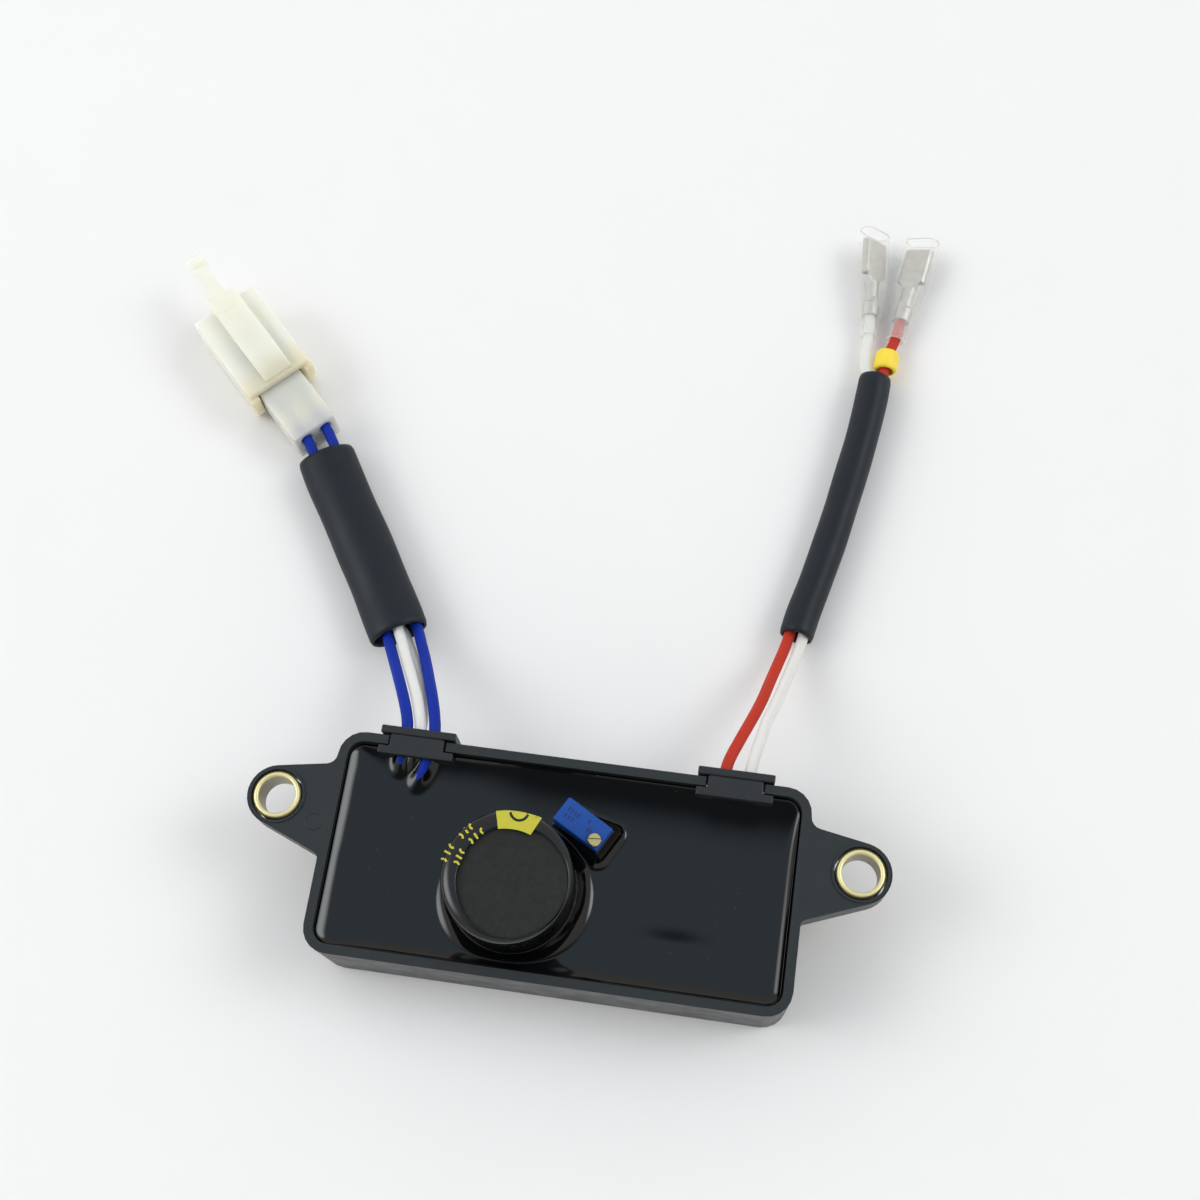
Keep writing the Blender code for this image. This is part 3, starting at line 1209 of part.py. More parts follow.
def main():
    black_plastic = material("black_plastic", (0.022, 0.023, 0.025), 0.42)
    clip_plastic = material("clip_plastic", (0.035, 0.037, 0.040), 0.55)
    compound = material("potting_compound", (0.006, 0.007, 0.009), 0.08)
    brass = material("brass", (0.78, 0.66, 0.36), 0.25, 1.0)
    tin = material("tinned_brass", (0.72, 0.72, 0.68), 0.28, 1.0)
    laminate = material("board_laminate", (0.10, 0.24, 0.12), 0.45)
    part_black = material("part_black", (0.020, 0.020, 0.022), 0.40)
    part_body = material("resistor_body", (0.45, 0.36, 0.22), 0.50)
    film = material("film_capacitor_body", (0.48, 0.06, 0.04), 0.40)
    aluminium = material("aluminium", (0.80, 0.80, 0.80), 0.30, 1.0)
    sleeve_black = material("sleeve_black", (0.020, 0.022, 0.026), 0.45)
    disc_black = material("disc_black", (0.040, 0.040, 0.042), 0.75)
    trimmer_blue = material("trimmer_blue", (0.03, 0.11, 0.55), 0.35)
    blue = material("blue_insulation", (0.02, 0.05, 0.40), 0.40)
    white = material("white_insulation", (0.75, 0.75, 0.72), 0.42)
    red = material("red_insulation", (0.60, 0.03, 0.02), 0.40)
    yellow = material("marker_yellow", (0.85, 0.58, 0.05), 0.45)
    ivory = material("ivory_nylon", (0.80, 0.78, 0.62), 0.40)
    natural = material("natural_nylon", (0.72, 0.74, 0.66), 0.35)
    clear = material("clear_sleeve", (0.90, 0.92, 0.90), 0.15, alpha=0.35)

    make_housing(black_plastic)
    make_bush("left_bush", -1, brass)
    make_bush("right_bush", 1, brass)
    make_clip("left_wire_clip", -1, LEFT_WINDOW_WIDTH, LEFT_WINDOW_DEPTH, clip_plastic)
    make_clip("right_wire_clip", 1, RIGHT_WINDOW_WIDTH, RIGHT_WINDOW_DEPTH, clip_plastic)

    make_board(laminate)
    make_filter_capacitor(aluminium, sleeve_black, disc_black)
    make_trimmer(trimmer_blue, brass)
    left, right = -BOARD_LENGTH / 2, BOARD_LENGTH / 2
    near, far = -BOARD_WIDTH / 2, BOARD_WIDTH / 2
    make_power_transistor((right - 0.0071, 0.0), part_black)
    make_control_transistor((right - 0.0221, far - 0.0040), part_black)
    make_film_capacitor((right - 0.0226, near + 0.0038), film)
    for i in range(4):
        centre = (left + 0.0036 + i * RECTIFIER_PITCH, near + 0.0078)
        name = f"rectifier_diode_{i + 1}"
        axial_part(name, centre, RECTIFIER_LENGTH, RECTIFIER_RADIUS, RECTIFIER_SPAN, part_black, along="Y")
    resistor = (RESISTOR_LENGTH, RESISTOR_RADIUS, RESISTOR_SPAN, part_body)
    flyback = (FLYBACK_LENGTH, FLYBACK_RADIUS, FLYBACK_SPAN, part_black)
    axial_part("flyback_diode", (right - 0.0246, -0.0050), *flyback)
    axial_part("zener_diode", (right - 0.0221, 0.0006), ZENER_LENGTH, ZENER_RADIUS, ZENER_SPAN, film)
    axial_part("resistor_1", (right - 0.0221, 0.0040), *resistor)
    axial_part("resistor_2", (right - 0.0221, 0.0074), *resistor)
    axial_part("resistor_3", (right - 0.0145, near + 0.0067), *resistor, along="Y")
    dropper_place = (-0.0140, far - 0.0032)
    axial_part("dropper_resistor", dropper_place, DROPPER_LENGTH, DROPPER_RADIUS, DROPPER_SPAN, part_body)
    make_potting(compound)

    wire("blue_wire_1", BLUE_WIRE_1, blue)
    wire("blue_wire_2", BLUE_WIRE_2, blue)
    wire("white_wire_1", WHITE_WIRE_1, white)
    wire("white_wire_2", WHITE_WIRE_2, white)
    wire("red_wire", RED_WIRE, red)
    wire("brush_white_wire", BRUSH_WHITE_WIRE, white)
    hollow_sleeve("left_sleeve", LEFT_SLEEVE_ROUTE, LEFT_SLEEVE_WIDTH, LEFT_SLEEVE_HEIGHT, sleeve_black)
    diameter = RIGHT_SLEEVE_DIAMETER
    hollow_sleeve("right_sleeve", RIGHT_SLEEVE_ROUTE, diameter, diameter, sleeve_black)

    make_connector_shell(ivory)
    make_connector_plug(natural)
    make_contacts(tin)
    make_marker(yellow)
    for word, place in terminal_places().items():
        make_spade_terminal(f"{word}_spade_terminal", place, tin)
        make_clear_sleeve(f"{word}_clear_sleeve", place, clear)


main()
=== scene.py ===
import math

import bmesh
import bpy
from mathutils import Matrix, Vector, noise


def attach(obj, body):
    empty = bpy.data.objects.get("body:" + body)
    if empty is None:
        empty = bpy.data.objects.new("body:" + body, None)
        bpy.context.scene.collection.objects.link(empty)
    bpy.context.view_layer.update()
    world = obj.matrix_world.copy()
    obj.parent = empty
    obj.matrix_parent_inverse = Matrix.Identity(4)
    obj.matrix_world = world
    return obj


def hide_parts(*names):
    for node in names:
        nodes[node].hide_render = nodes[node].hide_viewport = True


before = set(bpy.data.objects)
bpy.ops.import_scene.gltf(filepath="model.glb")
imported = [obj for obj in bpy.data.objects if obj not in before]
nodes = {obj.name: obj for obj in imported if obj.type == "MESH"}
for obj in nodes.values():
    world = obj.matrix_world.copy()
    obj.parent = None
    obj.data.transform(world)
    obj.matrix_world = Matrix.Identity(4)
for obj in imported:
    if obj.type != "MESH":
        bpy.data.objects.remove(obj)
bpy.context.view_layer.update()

scene = bpy.context.scene

# Sizes that this file repeats from the part, in metres
TRAY_LENGTH = 0.0839
TRAY_WIDTH = 0.0392
TRAY_HEIGHT = 0.0190
WALL = 0.00165
FILL_INSET = WALL + 0.0003
CORNER_RADIUS = 0.0045
POTTING_TOP = 0.0156
CLIP_FACE = 0.0213
CLIP_CENTRE = 0.0283
CLIP_GAP = 0.00495
CAPACITOR_X = -0.0075
CAPACITOR_Y = -0.0040
SLEEVE_RADIUS = 0.0111
SLEEVE_FOOT = 0.0093
SLEEVE_CROWN = 0.0297
LAP_START = 0.0080
LAP_DROP = 0.0016
MOUTH_RADIUS = 0.0093
MOUTH_SHIFT = 0.0014
MOUTH_TURN = math.radians(-38.0)
DISC_TOP = 0.0290
TRIMMER_X = 0.0030
TRIMMER_Y = 0.0082
TRIMMER_TURN = math.radians(-29.1)
TRIMMER_LENGTH = 0.00953
TRIMMER_WIDTH = 0.00483
TRIMMER_TOP = 0.0201
WIRE_RADIUS = 0.00105
LEFT_SLEEVE_WIDTH = 0.0113
LEFT_SLEEVE_HEIGHT = 0.0082
RIGHT_SLEEVE_DIAMETER = 0.0064
SLEEVE_WALL = 0.00055
MARKER_RADIUS = 0.0024
MARKER_WALL = 0.0008
BOLT_X = 0.0512
BOLT_Y = 0.0063
BUSH_RADIUS = 0.0043
BUSH_BORE_RADIUS = 0.00325
BUSH_BOTTOM = 0.0135
BUSH_TOP = 0.0193
CLEAR_SLEEVE_LENGTH = 0.0235
RED_TIP = (0.0532, 0.1413, 0.00254)
RED_TURN = math.radians(-9.3)
WHITE_TIP = (0.0430, 0.1420, 0.00315)
WHITE_TURN = math.radians(2.9)
CONNECTOR_X = -0.0860
CONNECTOR_Y = 0.1059
CONNECTOR_TURN = math.radians(44.7)

# Routes of the leads, the sleeves on them and the marker
BLUE_WIRE_1 = [
    (-0.0313, 0.0122, 0.0094), (-0.0313, 0.0123, 0.0115),
    (-0.0313, 0.0133, 0.0138), (-0.0312, 0.0150, 0.0157),
    (-0.0311, 0.0170, 0.0167), (-0.0310, 0.0190, 0.0170),
    (-0.0309, 0.0213, 0.0170), (-0.0315, 0.0240, 0.0168),
    (-0.0330, 0.0276, 0.0155), (-0.0350, 0.0316, 0.0130),
    (-0.0373, 0.0360, 0.0100), (-0.0393, 0.0398, 0.0075),
    (-0.0405, 0.0422, 0.0062), (-0.0424, 0.0453, 0.0056),
    (-0.0470, 0.0531, 0.0054), (-0.0513, 0.0600, 0.0052),
    (-0.0555, 0.0665, 0.0051), (-0.0592, 0.0723, 0.0053),
    (-0.0617, 0.0768, 0.0060), (-0.0638, 0.0800, 0.0068),
    (-0.0666, 0.0829, 0.0068), (-0.0687, 0.0850, 0.0068),
]
BLUE_WIRE_2 = [
    (-0.0286, 0.0094, 0.0094), (-0.0286, 0.0096, 0.0112),
    (-0.0284, 0.0107, 0.0135), (-0.0276, 0.0128, 0.0155),
    (-0.0266, 0.0156, 0.0167), (-0.0260, 0.0185, 0.0170),
    (-0.0259, 0.0213, 0.0170), (-0.0264, 0.0240, 0.0167),
    (-0.0278, 0.0282, 0.0150), (-0.0296, 0.0325, 0.0124),
    (-0.0316, 0.0371, 0.0094), (-0.0336, 0.0413, 0.0070),
    (-0.0348, 0.0438, 0.0059), (-0.0375, 0.0483, 0.0052),
    (-0.0421, 0.0561, 0.0048), (-0.0468, 0.0628, 0.0048),
    (-0.0515, 0.0690, 0.0052), (-0.0555, 0.0746, 0.0056),
    (-0.0580, 0.0791, 0.0061), (-0.0607, 0.0831, 0.0068),
    (-0.0635, 0.0860, 0.0068), (-0.0656, 0.0881, 0.0068),
]
WHITE_WIRE_1 = [
    (-0.0292, 0.0139, 0.0094), (-0.0292, 0.0140, 0.0118),
    (-0.0291, 0.0147, 0.0142), (-0.0288, 0.0164, 0.0161),
    (-0.0285, 0.0188, 0.0169), (-0.0284, 0.0213, 0.0170),
    (-0.0291, 0.0240, 0.0169), (-0.0306, 0.0280, 0.0156),
    (-0.0327, 0.0322, 0.0132), (-0.0350, 0.0366, 0.0104),
    (-0.0370, 0.0406, 0.0082), (-0.0384, 0.0432, 0.0070),
    (-0.0401, 0.0467, 0.0061), (-0.0444, 0.0547, 0.0047),
    (-0.0476, 0.0599, 0.0036), (-0.0506, 0.0650, 0.0027),
    (-0.0547, 0.0716, 0.0026), (-0.0580, 0.0789, 0.0031),
    (-0.0607, 0.0831, 0.0032), (-0.0635, 0.0860, 0.0032),
    (-0.0656, 0.0881, 0.0032),
]
WHITE_WIRE_2 = [
    (-0.0250, 0.0136, 0.0094), (-0.0250, 0.0137, 0.0112),
    (-0.0254, 0.0146, 0.0132), (-0.0266, 0.0165, 0.01435),
    (-0.0281, 0.0189, 0.0146), (-0.0289, 0.0213, 0.0145),
    (-0.0291, 0.0242, 0.0142), (-0.0300, 0.0282, 0.0127),
    (-0.0316, 0.0326, 0.0102), (-0.0339, 0.0370, 0.0075),
    (-0.0362, 0.0410, 0.0052), (-0.0378, 0.0434, 0.0041),
    (-0.0406, 0.0464, 0.0034), (-0.0463, 0.0535, 0.0029),
    (-0.0506, 0.0604, 0.0027), (-0.0548, 0.0669, 0.0026),
    (-0.0585, 0.0727, 0.0027), (-0.0616, 0.0768, 0.0031),
    (-0.0638, 0.0800, 0.0032), (-0.0666, 0.0829, 0.0032),
    (-0.0687, 0.0850, 0.0032),
]
RED_WIRE = [
    (0.0263, 0.0136, 0.0094), (0.0263, 0.0137, 0.0115), (0.0263, 0.0146, 0.0139), (0.0263, 0.0163, 0.0158),
    (0.0263, 0.0187, 0.0168), (0.0263, 0.0213, 0.0170), (0.0267, 0.0236, 0.0169), (0.0281, 0.0276, 0.0160),
    (0.0297, 0.0321, 0.0139), (0.0312, 0.0369, 0.0110), (0.0324, 0.0419, 0.0080), (0.0336, 0.0466, 0.0058),
    (0.0346, 0.0506, 0.0044), (0.0359, 0.0574, 0.0037), (0.0378, 0.0639, 0.0040), (0.0403, 0.0718, 0.0044),
    (0.0426, 0.0794, 0.0042), (0.0443, 0.0866, 0.0038), (0.0459, 0.0949, 0.0033), (0.0469, 0.1028, 0.0032),
    (0.0476, 0.1087, 0.0031), (0.0480, 0.1129, 0.0026), (0.0486, 0.1156, 0.00254), (0.0494, 0.1181, 0.00254),
    (0.05013, 0.1225, 0.00254), (0.05061, 0.1254, 0.00254),
]
BRUSH_WHITE_WIRE = [
    (0.0306, 0.0136, 0.0094), (0.0306, 0.0137, 0.0115), (0.0306, 0.0146, 0.0139), (0.0306, 0.0163, 0.0158),
    (0.0306, 0.0187, 0.0168), (0.0306, 0.0213, 0.0170), (0.0309, 0.0240, 0.0169), (0.0317, 0.0281, 0.0160),
    (0.0326, 0.0325, 0.0139), (0.0340, 0.0373, 0.0110), (0.0352, 0.0422, 0.0080), (0.0364, 0.0470, 0.0056),
    (0.0373, 0.0510, 0.0042), (0.0383, 0.0570, 0.0032), (0.0396, 0.0635, 0.0024), (0.0407, 0.0718, 0.0020),
    (0.0414, 0.0796, 0.0021), (0.0423, 0.0870, 0.0026), (0.0435, 0.0953, 0.0031), (0.0445, 0.1031, 0.0032),
    (0.0448, 0.1082, 0.0031), (0.0440, 0.1115, 0.0029), (0.0440, 0.1150, 0.0027), (0.0442, 0.1185, 0.00255),
    (0.04396, 0.1230, 0.00267), (0.04382, 0.1257, 0.002735),
]
LEFT_SLEEVE_ROUTE = [
    (-0.0383, 0.0427, 0.0052), (-0.0412, 0.0476, 0.0049),
    (-0.0452, 0.0542, 0.0045), (-0.0495, 0.0611, 0.0043),
    (-0.0537, 0.0676, 0.0042), (-0.0574, 0.0734, 0.0043), (-0.0600, 0.0778, 0.0046),
]
RIGHT_SLEEVE_ROUTE = [
    (0.0362, 0.0524, 0.0036), (0.0371, 0.0572, 0.0034), (0.0387, 0.0637, 0.0033), (0.0405, 0.0718, 0.0033),
    (0.0420, 0.0795, 0.0033), (0.0433, 0.0868, 0.0033), (0.0447, 0.0951, 0.0033), (0.0457, 0.1029, 0.0033),
    (0.0462, 0.1087, 0.0033),
]
MARKER_ROUTE = [(0.04795, 0.1109, 0.00262), (0.04805, 0.1130, 0.00254), (0.0484, 0.1151, 0.00252)]

# Sizes of forms that are finer here than in the part, in metres

FILL_FOOT = 0.0022
# Small dark blocks low in the gaps beside each clip, which keep the floor from showing through them
GAP_BLOCK_SIZE = (0.0004, WALL, 0.0012)
GAP_BLOCK_MIDDLE = 0.0114
PRINT_LIFT = 0.00003
EJECTOR_MARK = (-0.0438, 0.0024, TRAY_HEIGHT)
DISC_CROWN = 0.00012
DISC_UNDER_LAP = 0.0005
DISC_LIMIT = 0.01055
LAP_EDGE = 0.00015

# Menisci of the compound: how high each one rises and how far it reaches, in metres

LEFT_RISE, LEFT_REACH = 0.0020, 0.0036
FAR_RISE, FAR_REACH = 0.0011, 0.0030
PAST_LEADS_RISE, PAST_LEADS_REACH = 0.0007, 0.0013
BANK_RISE, BANK_REACH = 0.0023, 0.0028
BANK_MIDDLE, BANK_HALF_WIDTH = 0.0285, 0.0058
WALL_RISE, WALL_REACH = 0.0012, 0.00095
CAN_RISE, CAN_REACH = 0.0009, 0.0013
CAN_RIGHT_RISE, CAN_RIGHT_REACH = 0.0021, 0.0019
CAN_NEAR_LEFT_RISE, CAN_NEAR_LEFT_REACH = 0.0011, 0.0018
TRIMMER_RISE, TRIMMER_REACH = 0.0004, 0.0010
SCREW_END_RISE, SCREW_END_REACH = 0.0026, 0.0017
DIMPLE_X, DIMPLE_Y, DIMPLE_DEPTH = 0.0212, -0.0093, 0.00022
DIMPLE_LENGTH, DIMPLE_WIDTH = 0.0052, 0.0018

# Camera, fitted to the photograph

LENS = 49.73
SENSOR = 36.0
CAMERA_PLACE = (0.0279, -0.0500, 0.3018)
CAMERA_RIGHT = (0.98840, 0.14447, -0.04685)
CAMERA_UP = (-0.12018, 0.93258, 0.34034)
CAMERA_AHEAD = (-0.09287, 0.33076, -0.93913)
PHOTO_MIDDLE = 600.0
PHOTO_FOCAL = 1657.6


def make_camera():
    data = bpy.data.cameras.new("camera")
    data.lens = LENS
    data.sensor_width = SENSOR
    data.clip_start = 0.01
    data.dof.use_dof = False
    camera = bpy.data.objects.new("camera", data)
    scene.collection.objects.link(camera)
    rows = [(x, y, -z, at) for x, y, z, at in zip(CAMERA_RIGHT, CAMERA_UP, CAMERA_AHEAD, CAMERA_PLACE)]
    camera.matrix_world = Matrix((*rows, (0, 0, 0, 1)))
    scene.camera = camera


make_camera()


# Materials

def surface(name, colour, roughness, metallic=0.0, tone=0.10, grain=700.0, spread=0.06, bump=0.15,
            bump_scale=2500.0, bump_depth=0.00002, specks=0.0, speck_colour=(0.3, 0.3, 0.3)):
    """A material whose tone, roughness and fine relief vary a little over the surface."""
    material = bpy.data.materials.new(name)
    material.use_nodes = True
    tree = material.node_tree
    link = tree.links.new
    shader = tree.nodes["Principled BSDF"]
    shader.inputs["Base Color"].default_value = (*colour, 1.0)
    shader.inputs["Roughness"].default_value = roughness
    shader.inputs["Metallic"].default_value = metallic
    where = tree.nodes.new("ShaderNodeTexCoord")
    cloud = tree.nodes.new("ShaderNodeTexNoise")
    cloud.inputs["Scale"].default_value = grain
    cloud.inputs["Detail"].default_value = 5.0
    link(where.outputs["Object"], cloud.inputs["Vector"])
    mix = tree.nodes.new("ShaderNodeMix")
    mix.data_type = "RGBA"
    mix.inputs[6].default_value = (*[c * (1 - tone) for c in colour], 1.0)
    mix.inputs[7].default_value = (*[min(1.0, c * (1 + tone)) for c in colour], 1.0)
    link(cloud.outputs["Fac"], mix.inputs[0])
    found = mix.outputs[2]
    if specks:
        dots = tree.nodes.new("ShaderNodeTexVoronoi")
        dots.inputs["Scale"].default_value = 420.0
        link(where.outputs["Object"], dots.inputs["Vector"])
        near = tree.nodes.new("ShaderNodeMath")
        near.operation = "LESS_THAN"
        near.inputs[1].default_value = specks
        link(dots.outputs["Distance"], near.inputs[0])
        dotted = tree.nodes.new("ShaderNodeMix")
        dotted.data_type = "RGBA"
        dotted.inputs[7].default_value = (*speck_colour, 1.0)
        link(near.outputs[0], dotted.inputs[0])
        link(found, dotted.inputs[6])
        found = dotted.outputs[2]
    link(found, shader.inputs["Base Color"])
    haze = tree.nodes.new("ShaderNodeTexNoise")
    haze.inputs["Scale"].default_value = grain * 0.4
    haze.inputs["Detail"].default_value = 3.0
    link(where.outputs["Object"], haze.inputs["Vector"])
    ramp = tree.nodes.new("ShaderNodeMapRange")
    ramp.inputs["From Min"].default_value = 0.3
    ramp.inputs["From Max"].default_value = 0.7
    ramp.inputs["To Min"].default_value = max(0.02, roughness - spread)
    ramp.inputs["To Max"].default_value = min(1.0, roughness + spread)
    link(haze.outputs["Fac"], ramp.inputs["Value"])
    link(ramp.outputs["Result"], shader.inputs["Roughness"])
    fine = tree.nodes.new("ShaderNodeTexNoise")
    fine.inputs["Scale"].default_value = bump_scale
    fine.inputs["Detail"].default_value = 4.0
    link(where.outputs["Object"], fine.inputs["Vector"])
    relief = tree.nodes.new("ShaderNodeBump")
    relief.inputs["Strength"].default_value = bump
    relief.inputs["Distance"].default_value = bump_depth
    link(fine.outputs["Fac"], relief.inputs["Height"])
    link(relief.outputs["Normal"], shader.inputs["Normal"])
    return material


def soft_nylon(name, colour, roughness, depth, weight):
    """A nylon that light enters a little way."""
    material = surface(name, colour, roughness, tone=0.04, grain=300.0, bump=0.2, bump_scale=1600.0)
    shader = material.node_tree.nodes["Principled BSDF"]
    shader.inputs["Subsurface Weight"].default_value = weight
    shader.inputs["Subsurface Radius"].default_value = (1.0, 0.9, 0.7)
    shader.inputs["Subsurface Scale"].default_value = depth
    return material


def clear_film(name, alpha):
    """A thin clear plastic: what lies behind shows through by the share that alpha leaves."""
    material = surface(name, (0.93, 0.93, 0.90), 0.12, tone=0.02, grain=500.0, bump=0.3, bump_scale=900.0)
    shader = material.node_tree.nodes["Principled BSDF"]
    shader.inputs["Alpha"].default_value = alpha
    shader.inputs["Specular IOR Level"].default_value = 0.9
    return material


def graded_tint(material, origin, axis, start, end, tint):
    """Leads a material's colour over to a tint along an axis of the part, from start to end."""
    tree = material.node_tree
    link = tree.links.new
    shader = tree.nodes["Principled BSDF"]
    source = shader.inputs["Base Color"].links[0].from_socket
    where = tree.nodes.new("ShaderNodeTexCoord")
    shift = tree.nodes.new("ShaderNodeVectorMath")
    shift.operation = "SUBTRACT"
    shift.inputs[1].default_value = origin
    link(where.outputs["Object"], shift.inputs[0])
    along = tree.nodes.new("ShaderNodeVectorMath")
    along.operation = "DOT_PRODUCT"
    along.inputs[1].default_value = axis
    link(shift.outputs["Vector"], along.inputs[0])
    patchy = tree.nodes.new("ShaderNodeTexNoise")
    patchy.inputs["Scale"].default_value = 260.0
    link(where.outputs["Object"], patchy.inputs["Vector"])
    wander = tree.nodes.new("ShaderNodeMath")
    wander.operation = "MULTIPLY_ADD"
    wander.inputs[1].default_value = 0.003
    link(patchy.outputs["Fac"], wander.inputs[0])
    link(along.outputs["Value"], wander.inputs[2])
    ramp = tree.nodes.new("ShaderNodeMapRange")
    ramp.interpolation_type = "SMOOTHSTEP"
    ramp.inputs["From Min"].default_value = start
    ramp.inputs["From Max"].default_value = end
    link(wander.outputs["Value"], ramp.inputs["Value"])
    mix = tree.nodes.new("ShaderNodeMix")
    mix.data_type = "RGBA"
    mix.inputs[7].default_value = (*tint, 1.0)
    link(ramp.outputs["Result"], mix.inputs[0])
    link(source, mix.inputs[6])
    link(mix.outputs[2], shader.inputs["Base Color"])
    return material


HOUSING_BLACK = surface("housing_black", (0.0200, 0.0240, 0.0260), 0.42, tone=0.15, bump=0.35,
                        bump_scale=1800.0)
CLIP_GREY = surface("clip_grey", (0.0190, 0.0215, 0.0245), 0.45, tone=0.12, bump=0.35, bump_scale=1800.0)
POTTING = surface("potting_black", (0.0014, 0.0016, 0.0016), 0.08, tone=0.25, grain=120.0, spread=0.02,
                  bump=0.05, bump_scale=250.0, bump_depth=0.00003, specks=0.03,
                  speck_colour=(0.08, 0.08, 0.08))
BRASS = surface("brass", (0.95, 0.86, 0.46), 0.46, metallic=1.0, tone=0.05, grain=300.0, spread=0.04,
                bump=0.05)
SCREW_BRASS = surface("screw_brass", (0.72, 0.60, 0.27), 0.36, metallic=1.0, tone=0.10, grain=900.0,
                      bump=0.15)
# Darker, duller brass for the bushes' bores: painted shade inside the holes
BORE = surface("bore_brass_painted_shade", (0.42, 0.39, 0.31), 0.45, metallic=0.8, tone=0.15, grain=500.0, bump=0.10)
TINNED = surface("tinned_brass", (0.60, 0.59, 0.54), 0.42, metallic=1.0, tone=0.22, grain=700.0, bump=0.35,
                 bump_scale=1200.0)
SLEEVE_BLACK = surface("sleeve_black", (0.0095, 0.0145, 0.0200), 0.50, tone=0.14, grain=400.0, bump=0.30,
                       bump_scale=1300.0)
SKIN_BLACK = surface("shrunk_skin_black", (0.0035, 0.0042, 0.0050), 0.17, tone=0.10, grain=500.0, bump=0.20,
                     bump_scale=900.0)
DISC_BLACK = surface("disc_black", (0.0185, 0.0192, 0.0188), 0.74, tone=0.32, grain=1400.0, bump=0.55,
                     bump_scale=2600.0, bump_depth=0.00004)
TRIMMER_BLUE = surface("trimmer_blue", (0.008, 0.072, 0.36), 0.45, tone=0.10, bump=0.25)
MARK_BLUE = surface("mark_blue", (0.010, 0.030, 0.15), 0.55, tone=0.10)
WIRE_BLUE = surface("wire_blue", (0.0015, 0.024, 0.32), 0.60, tone=0.10, grain=500.0, bump=0.15)
WIRE_WHITE = surface("wire_white", (0.77, 0.77, 0.735), 0.42, tone=0.04, grain=500.0, bump=0.15)
WIRE_RED = surface("wire_red", (0.51, 0.034, 0.016), 0.55, tone=0.08, grain=500.0, bump=0.15)
MARKER_YELLOW = surface("marker_yellow", (1.0, 0.74, 0.050), 0.50, tone=0.06, grain=500.0, bump=0.25)
PRINT_YELLOW = surface("print_yellow", (0.54, 0.50, 0.035), 0.60, tone=0.06, grain=900.0, bump=0.15)
ALONG_CONNECTOR = (-math.sin(CONNECTOR_TURN), math.cos(CONNECTOR_TURN), 0.0)
CONNECTOR_ORIGIN = (CONNECTOR_X, CONNECTOR_Y, 0.0)
IVORY = soft_nylon("ivory_nylon", (0.86, 0.845, 0.72), 0.55, 0.0050, 0.85)
graded_tint(IVORY, CONNECTOR_ORIGIN, ALONG_CONNECTOR, -0.0125, -0.0225, (0.72, 0.63, 0.43))
NATURAL = soft_nylon("natural_nylon", (0.75, 0.735, 0.62), 0.45, 0.0040, 0.75)
graded_tint(NATURAL, CONNECTOR_ORIGIN, ALONG_CONNECTOR, -0.0270, -0.0340, (0.52, 0.53, 0.55))
CLEAR = clear_film("clear_sleeve", 0.16)
CLEAR_EDGE = clear_film("clear_sleeve_cut_edge", 0.62)
ALUMINIUM = surface("aluminium", (0.80, 0.80, 0.80), 0.30, metallic=1.0)
LAMINATE = surface("board_laminate", (0.10, 0.24, 0.12), 0.45)
PART_BLACK = surface("part_black", (0.020, 0.020, 0.022), 0.45)
RESISTOR = surface("resistor_body", (0.45, 0.36, 0.22), 0.45)
FILM = surface("film_capacitor_body", (0.48, 0.06, 0.04), 0.30)
FLOOR = surface("floor", (0.915, 0.905, 0.895), 0.80, tone=0.01, grain=40.0, bump=0.0)
for dull in (HOUSING_BLACK, CLIP_GREY, TRIMMER_BLUE):
    dull.node_tree.nodes["Principled BSDF"].inputs["Specular IOR Level"].default_value = 0.38
for dull in (SLEEVE_BLACK, DISC_BLACK):
    dull.node_tree.nodes["Principled BSDF"].inputs["Specular IOR Level"].default_value = 0.28
for dull in (WIRE_BLUE, WIRE_RED):
    dull.node_tree.nodes["Principled BSDF"].inputs["Specular IOR Level"].default_value = 0.22


# Helpers

def place_object(name, data, materials, body="regulator"):
    obj = bpy.data.objects.new(name, data)
    scene.collection.objects.link(obj)
    for material in materials:
        obj.data.materials.append(material)
    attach(obj, body)
    return obj


def mesh_object(name, bm, materials, body="regulator", flat=False, weighted=False):
    bmesh.ops.recalc_face_normals(bm, faces=bm.faces)
    mesh = bpy.data.meshes.new(name)
    bm.to_mesh(mesh)
    bm.free()
    for face in mesh.polygons:
        face.use_smooth = not flat
    obj = place_object(name, mesh, materials, body)
    if weighted:
        normals = obj.modifiers.new("normals", "WEIGHTED_NORMAL")
        normals.weight = 80
    return obj


def smooth_route(points, step):
    """Points at an even step along a smooth curve through the route's own points."""
    knots = [Vector(p) for p in points]
    times = [0.0]
    for a, b in zip(knots, knots[1:]):
        times.append(times[-1] + (b - a).length)
    slopes = []
    for i in range(len(knots)):
        a, b = max(i - 1, 0), min(i + 1, len(knots) - 1)
        slopes.append((knots[b] - knots[a]) / (times[b] - times[a]))
    count = max(3, round(times[-1] / step))
    found = []
    for k in range(count + 1):
        t = times[-1] * k / count
        i = min(max(j for j in range(len(times)) if times[j] <= t + 1e-12), len(knots) - 2)
        span = times[i + 1] - times[i]
        u = (t - times[i]) / span
        found.append(
            (2 * u**3 - 3 * u**2 + 1) * knots[i]
            + (u**3 - 2 * u**2 + u) * span * slopes[i]
            + (3 * u**2 - 2 * u**3) * knots[i + 1]
            + (u**3 - u**2) * span * slopes[i + 1]
        )
    return found


def route_length(points):
    return sum((b - a).length for a, b in zip(points, points[1:]))


